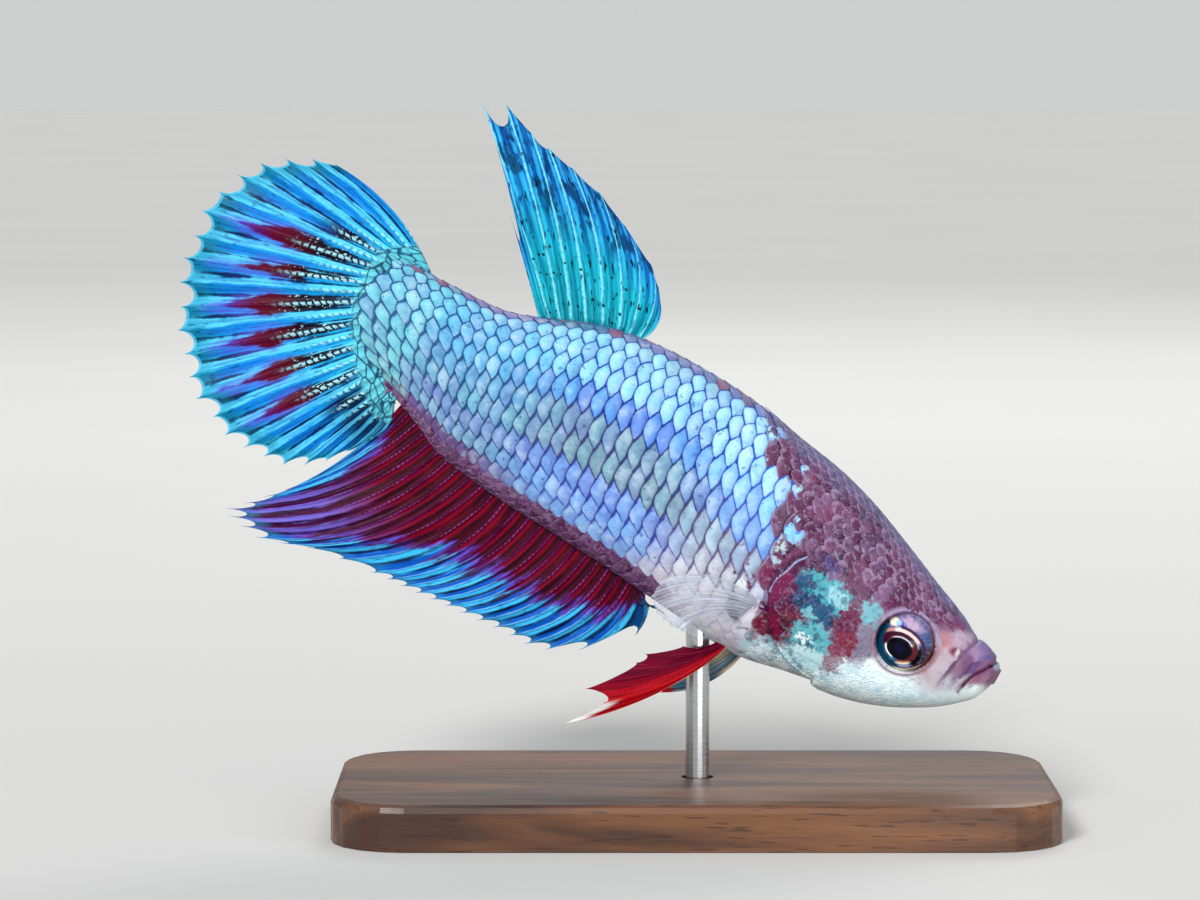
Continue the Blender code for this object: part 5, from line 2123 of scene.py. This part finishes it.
@dataclass
class Eye:
    """Glossy ball with a painted iris."""

    side: Side
    form: BodyForm
    relief: HeadRelief
    out: float = 2.42
    depth: float = 1.3
    pupil: tuple[float, float] = (0.22, -0.48)
    pupil_size: tuple[float, float] = (0.86, 0.68)
    iris: tuple[Patch, ...] = (
        Patch(0, 1, 1.9, 0.95, 0x606290, 0, 0.35), Patch(0.25, 1.32, 0.75, 0.32, 0xB49CBC, 6, 0.5),
        Patch(-1.15, 0.85, 0.5, 0.55, 0x3E5284, 40, 0.5, 0.9),
        Patch(-1.35, -0.25, 0.35, 0.65, 0x3C344E, 0, 0.4, 0.9),
        Patch(1.3, 0.92, 0.26, 0.3, 0xF0EBCD, 30, 0.4), Patch(1.02, 0.95, 0.2, 0.2, 0x96C6F0, 0, 0.4),
        Patch(0.7, 1.02, 0.18, 0.16, 0x2C40B4, 0, 0.4, 0.8),
        Patch(0.95, 1.54, 0.32, 0.1, 0x485474, 24, 0.5, 0.8),
        Patch(0.3, 1.78, 0.09, 0.08, 0x1C1E5C, 0, 0.3), Patch(1.7, 0.67, 0.12, 0.12, 0x12142A, 0, 0.4),
        Patch(0.95, -1.05, 0.75, 0.6, 0x164A68, -40, 0.5),
        Patch(-0.55, -1.33, 0.5, 0.22, 0x96A0CA, -18, 0.4))

    def build(self) -> Object:
        """Make the eye.

        Returns:
            The eye's object.
        """
        data = bmesh.new()
        bmesh.ops.create_uvsphere(data, u_segments=72, v_segments=48, radius=1)
        bmesh.ops.rotate(data, verts=data.verts, cent=(0, 0, 0),
                         matrix=Matrix.Rotation(math.pi / 2, 3, "X"))
        mesh = to_mesh(data, "eye")
        ball = get_points(mesh)
        radius = self.relief.eye_radius
        side = self.side.value * self.out + ball[:, 1] * self.depth
        lie = np.stack([self.relief.eye_along + ball[:, 0] * radius,
                        self.relief.eye_rise + ball[:, 2] * radius, side], -1)
        set_points(mesh, self.form.world(lie))
        add_vectors(mesh, "iris", np.stack([ball[:, 0] * radius, ball[:, 2] * radius, ball[:, 1]], -1))
        data = bmesh.new()
        data.from_mesh(mesh)
        bmesh.ops.recalc_face_normals(data, faces=data.faces)
        data.to_mesh(mesh)
        data.free()
        mesh.shade_smooth()
        return new_object("eye_ball_" + self.side.word, mesh)

    @staticmethod
    def polar(bench: Bench, place: Signal) -> tuple[Signal, Signal]:
        """Angle and length of a place."""
        across, up, _ = bench.parts(place)
        return bench.math("ARCTAN2", up, across), bench.vector("LENGTH", place)

    def dress(self, piece: Object) -> None:
        """Paint the eye.

        Args:
            piece: The eye.
        """
        made, bench = Surface(0.16, 0.04, 0.16, 0.04).material("eye_finish_" + self.side.word)
        place = bench.read("iris")
        flat = place * (1, 1, 0)
        shift = (bench.noise(place, 2.4, 3, 0.6, 0, "Color") - (0.5, 0.5, 0.5)) * (0.22, 0.22, 0)
        ragged = flat + shift
        tone: Paint = 0x2C1A2E
        for patch in self.iris:
            tone = bench.blend(Markings.patch_mask(bench, ragged, patch), tone, patch.colour)
        spokes = flat - (*self.pupil, 0)
        wide, tall = self.pupil_size
        spokes = spokes * (-1 / wide, 1 / tall, 0)
        drift = shift * (0.35, 0.35, 0)
        around = {True: self.polar(bench, spokes + drift),
                  False: self.polar(bench, flat * (-1, 1, 0))}
        angle, reach = around[True]
        fibre = bench.noise(bench.join(angle * 5, reach * 1.2, 0), 1.6, 3)
        tone = tone.blend(fibre.step(0.5, 0.72, 0, 0.3) * reach.step(1, 1.3), 0xBEB0BE)
        tone = tone.blend(fibre.step(0.46, 0.28, 0, 0.3), 0x1E1022)
        for arc in EYE_ARCS:
            tone = tone.blend(arc.mask(bench, *around[arc.pupil]), arc.colour)
        # Pupil near black, with a painted reflection in dark blue at its middle.
        black = bench.blend(reach.step(0, 0.75, 0.7, 0), 0x010104, 0x04083A)
        tone = tone.blend(reach.step(0.94, 1.03, 1, 0), black)
        tone = tone.blend(around[False][1].step(1.88, 1.95), 0x46282C)
        bench.give("Base Color", tone)
        bench.bump(fibre, 0.2, 0.00003)
        piece.data.materials.append(made)
        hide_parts("eye_" + self.side.word)
        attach(piece, BODY)


@dataclass(frozen=True)
class Stand:
    """Wooden base and steel rod of the display stand, kept from the solids."""

    light_wood: int = 0x7A4E30
    dark_wood: int = 0x422618

    @staticmethod
    def put_on(node: str, material: Material) -> None:
        """Give a solid a material in each of its slots.

        Args:
            node: The solid's name.
            material: The material.
        """
        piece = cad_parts[node]
        for slot in piece.material_slots:
            slot.material = material

    def dress(self) -> None:
        """Give base and rod their finishes."""
        made, bench = Surface(0.42, 0.4, 0.25, 0.38).material("walnut_finish")
        place = bench.own_place()
        grain = bench.noise(place * (60, 900, 900), 1, 5, 0.6, 0.4)
        rings = bench.noise(place * (22, 190, 190), 1, 3, 0.5, 1.2)
        tone = bench.blend(rings.step(0.35, 0.65), self.dark_wood, self.light_wood)
        tone = tone.blend(grain.step(0.52, 0.7, 0, 0.55), self.dark_wood)
        pores = bench.noise(place * (420, 5200, 5200), 1, 1)
        tone = tone.blend(pores.step(0.62, 0.7, 0, 0.6), 0x22120C)
        bench.give("Base Color", tone)
        bench.give("Roughness", grain.step(0.3, 0.7, 0.34, 0.52))
        bench.bump(grain - pores, 0.4, 6e-05)
        self.put_on("stand_base", made)

        made, bench = Surface(0.28, 0.5, metallic=1).material("brushed_steel_finish")
        place = bench.own_place()
        brushed = bench.noise(place * (300, 300, 16000), 1, 3)
        bench.give("Base Color", bench.blend(brushed, 0xACAEB2, 0xCCCED0))
        bench.give("Roughness", brushed.step(0.3, 0.7, 0.24, 0.36))
        bench.bump(brushed, 0.12, 0.00001)
        self.put_on("stand_rod", made)


@dataclass(frozen=True)
class Studio:
    """Camera, soft lights and pale floor."""

    target: tuple[float, float, float] = (-6.333, 0, 25)
    distance: float = 300.0
    elevation: float = 5.0
    lens: float = 135.0

    def camera(self) -> None:
        """Place the camera."""
        data = bpy.data.cameras.new("camera")
        data.lens = self.lens
        data.sensor_width = 36.0
        data.clip_start, data.clip_end = 0.01, 20.0
        made = new_object("camera", data)
        tilt = math.radians(self.elevation)
        target = Vector(self.target) * MM
        made.location = target + Vector((0, -math.cos(tilt), math.sin(tilt))) * self.distance * MM
        made.rotation_euler = (math.pi / 2 - tilt, 0, 0)
        bpy.context.scene.camera = made

    def light(self, name: str, place: tuple[float, float, float], size: float,
              power: float, colour: tuple[float, float, float] = (1, 1, 1),
              goal: tuple[float, float, float] | None = None, spread: float = 180.0) -> None:
        """Add a soft light that looks at the fish.

        Args:
            name: Its name.
            place: Where it stands, in metres.
            size: Its width in metres.
            power: Its power in watts.
            colour: Its colour.
            goal: Point it looks at in millimetres, if not the middle of the picture.
            spread: Angle it fans out over, in degrees.
        """
        data = bpy.data.lights.new(name, "AREA")
        data.spread = math.radians(spread)
        data.size = size
        data.energy = power
        data.color = colour
        made = new_object(name, data)
        made.location = place
        aim = Vector(goal or self.target) * MM - Vector(place)
        made.rotation_euler = aim.to_track_quat("-Z", "Y").to_euler()

    def sun(self, name: str, bearing: tuple[float, float], strength: float,
            softness: float) -> None:
        """Add a wide even light from far away.

        Args:
            name: Its name.
            bearing: Degrees to the right of the camera and above the floor.
            strength: Its strength.
            softness: Its apparent width in degrees.
        """
        data = bpy.data.lights.new(name, "SUN")
        data.energy = strength
        data.angle = math.radians(softness)
        made = new_object(name, data)
        turn, height = (math.radians(value) for value in bearing)
        source = Vector((math.sin(turn) * math.cos(height), -math.cos(turn) * math.cos(height),
                         math.sin(height)))
        made.rotation_euler = source.to_track_quat("Z", "Y").to_euler()

    def floor(self) -> None:
        """Lay the pale floor."""
        data = bmesh.new()
        bmesh.ops.create_grid(data, x_segments=1, y_segments=1, size=4)
        bmesh.ops.translate(data, verts=data.verts, vec=(0, 0, -0.00005))
        mesh = to_mesh(data, "floor")
        made = new_object("floor", mesh)
        material, bench = Surface(0.9, 0.2).material("floor_finish")
        cloud = bench.noise(bench.own_place(), 9, 3)
        bench.give("Base Color", bench.blend(cloud, 0xD6D6D4, 0xDEDEDC))
        mesh.materials.append(material)

    def build(self) -> None:
        """Set up the whole studio."""
        self.camera()
        self.floor()
        self.sun("key", (-28, 38), 2.3, 16)
        self.sun("fill", (52, 12), 0.5, 40)
        self.sun("low", (6, 1), 0.45, 60)
        self.light("back", (0.1, 0.42, 0.4), 0.25, 0.8)
        self.light("card", (0.028, -0.055, 0.01), 0.016, 0.0007, goal=(12, 0, 14), spread=50)
        world = bpy.data.worlds.new("studio")
        bpy.context.scene.world = world
        world.use_nodes = True
        bench = Bench(world.node_tree)
        sky = world.node_tree.nodes["Background"]
        sky.inputs["Color"].default_value = (0.93, 0.94, 0.94, 1)
        seen = Signal(bench, bench.node("ShaderNodeLightPath").outputs["Is Camera Ray"])
        bench.put(sky.inputs["Strength"], seen.step(0, 1, 0.42, 0.66))
        bpy.context.scene.view_settings.view_transform = "Standard"


def coats(form: BodyForm, relief: HeadRelief) -> list[ScaleCoat]:
    """Every coat of scales.

    Args:
        form: The body.
        relief: Relief of the head.

    Returns:
        The coats.
    """
    small = Lattice(rows=29, pitches=((3, 0.58), (8, 0.64), (14, 0.8), (24, 0.92)))
    body = Lattice()
    made = []
    for side in Side:
        rows = range(0, 15) if side is Side.RIGHT else range(1, 16)
        made.append(ScaleCoat("scales_flank_" + side.word, Zone.FLANK, (side,), rows, form,
                              relief, body, "trunk_skin", seed=11 + side.value))
        rows = range(0, 29) if side is Side.RIGHT else range(1, 30)
        made.append(ScaleCoat("scales_head_" + side.word, Zone.HEAD, (side,), rows, form, relief, small,
                              "head_skin", ScaleShape(flat=0.3, thickness=0.025, dome=0.015), seed=21
                              + side.value, own_place=0.1, lift=0.45))
    return made


def report(piece: Object) -> None:
    """Log a piece's name and size."""
    LOG.info("%s: %d faces", piece.name, len(piece.data.polygons))


def main() -> None:
    """Build the fish, its stand's finishes and the studio."""
    logging.basicConfig(level=logging.INFO, format="%(message)s")
    form, relief = BodyForm(), HeadRelief()
    markings = Markings().group()
    skin = Skin(form, relief)
    piece = skin.build()
    skin.dress(piece, markings)
    report(piece)
    for coat in coats(form, relief):
        piece = coat.build()
        coat.dress(piece, markings)
        report(piece)
    for piece in Fins(form).make():
        report(piece)
    for side in Side:
        eye = Eye(side, form, relief)
        piece = eye.build()
        eye.dress(piece)
        report(piece)
    Stand().dress()
    Studio().build()


if __name__ == "__main__":
    main()
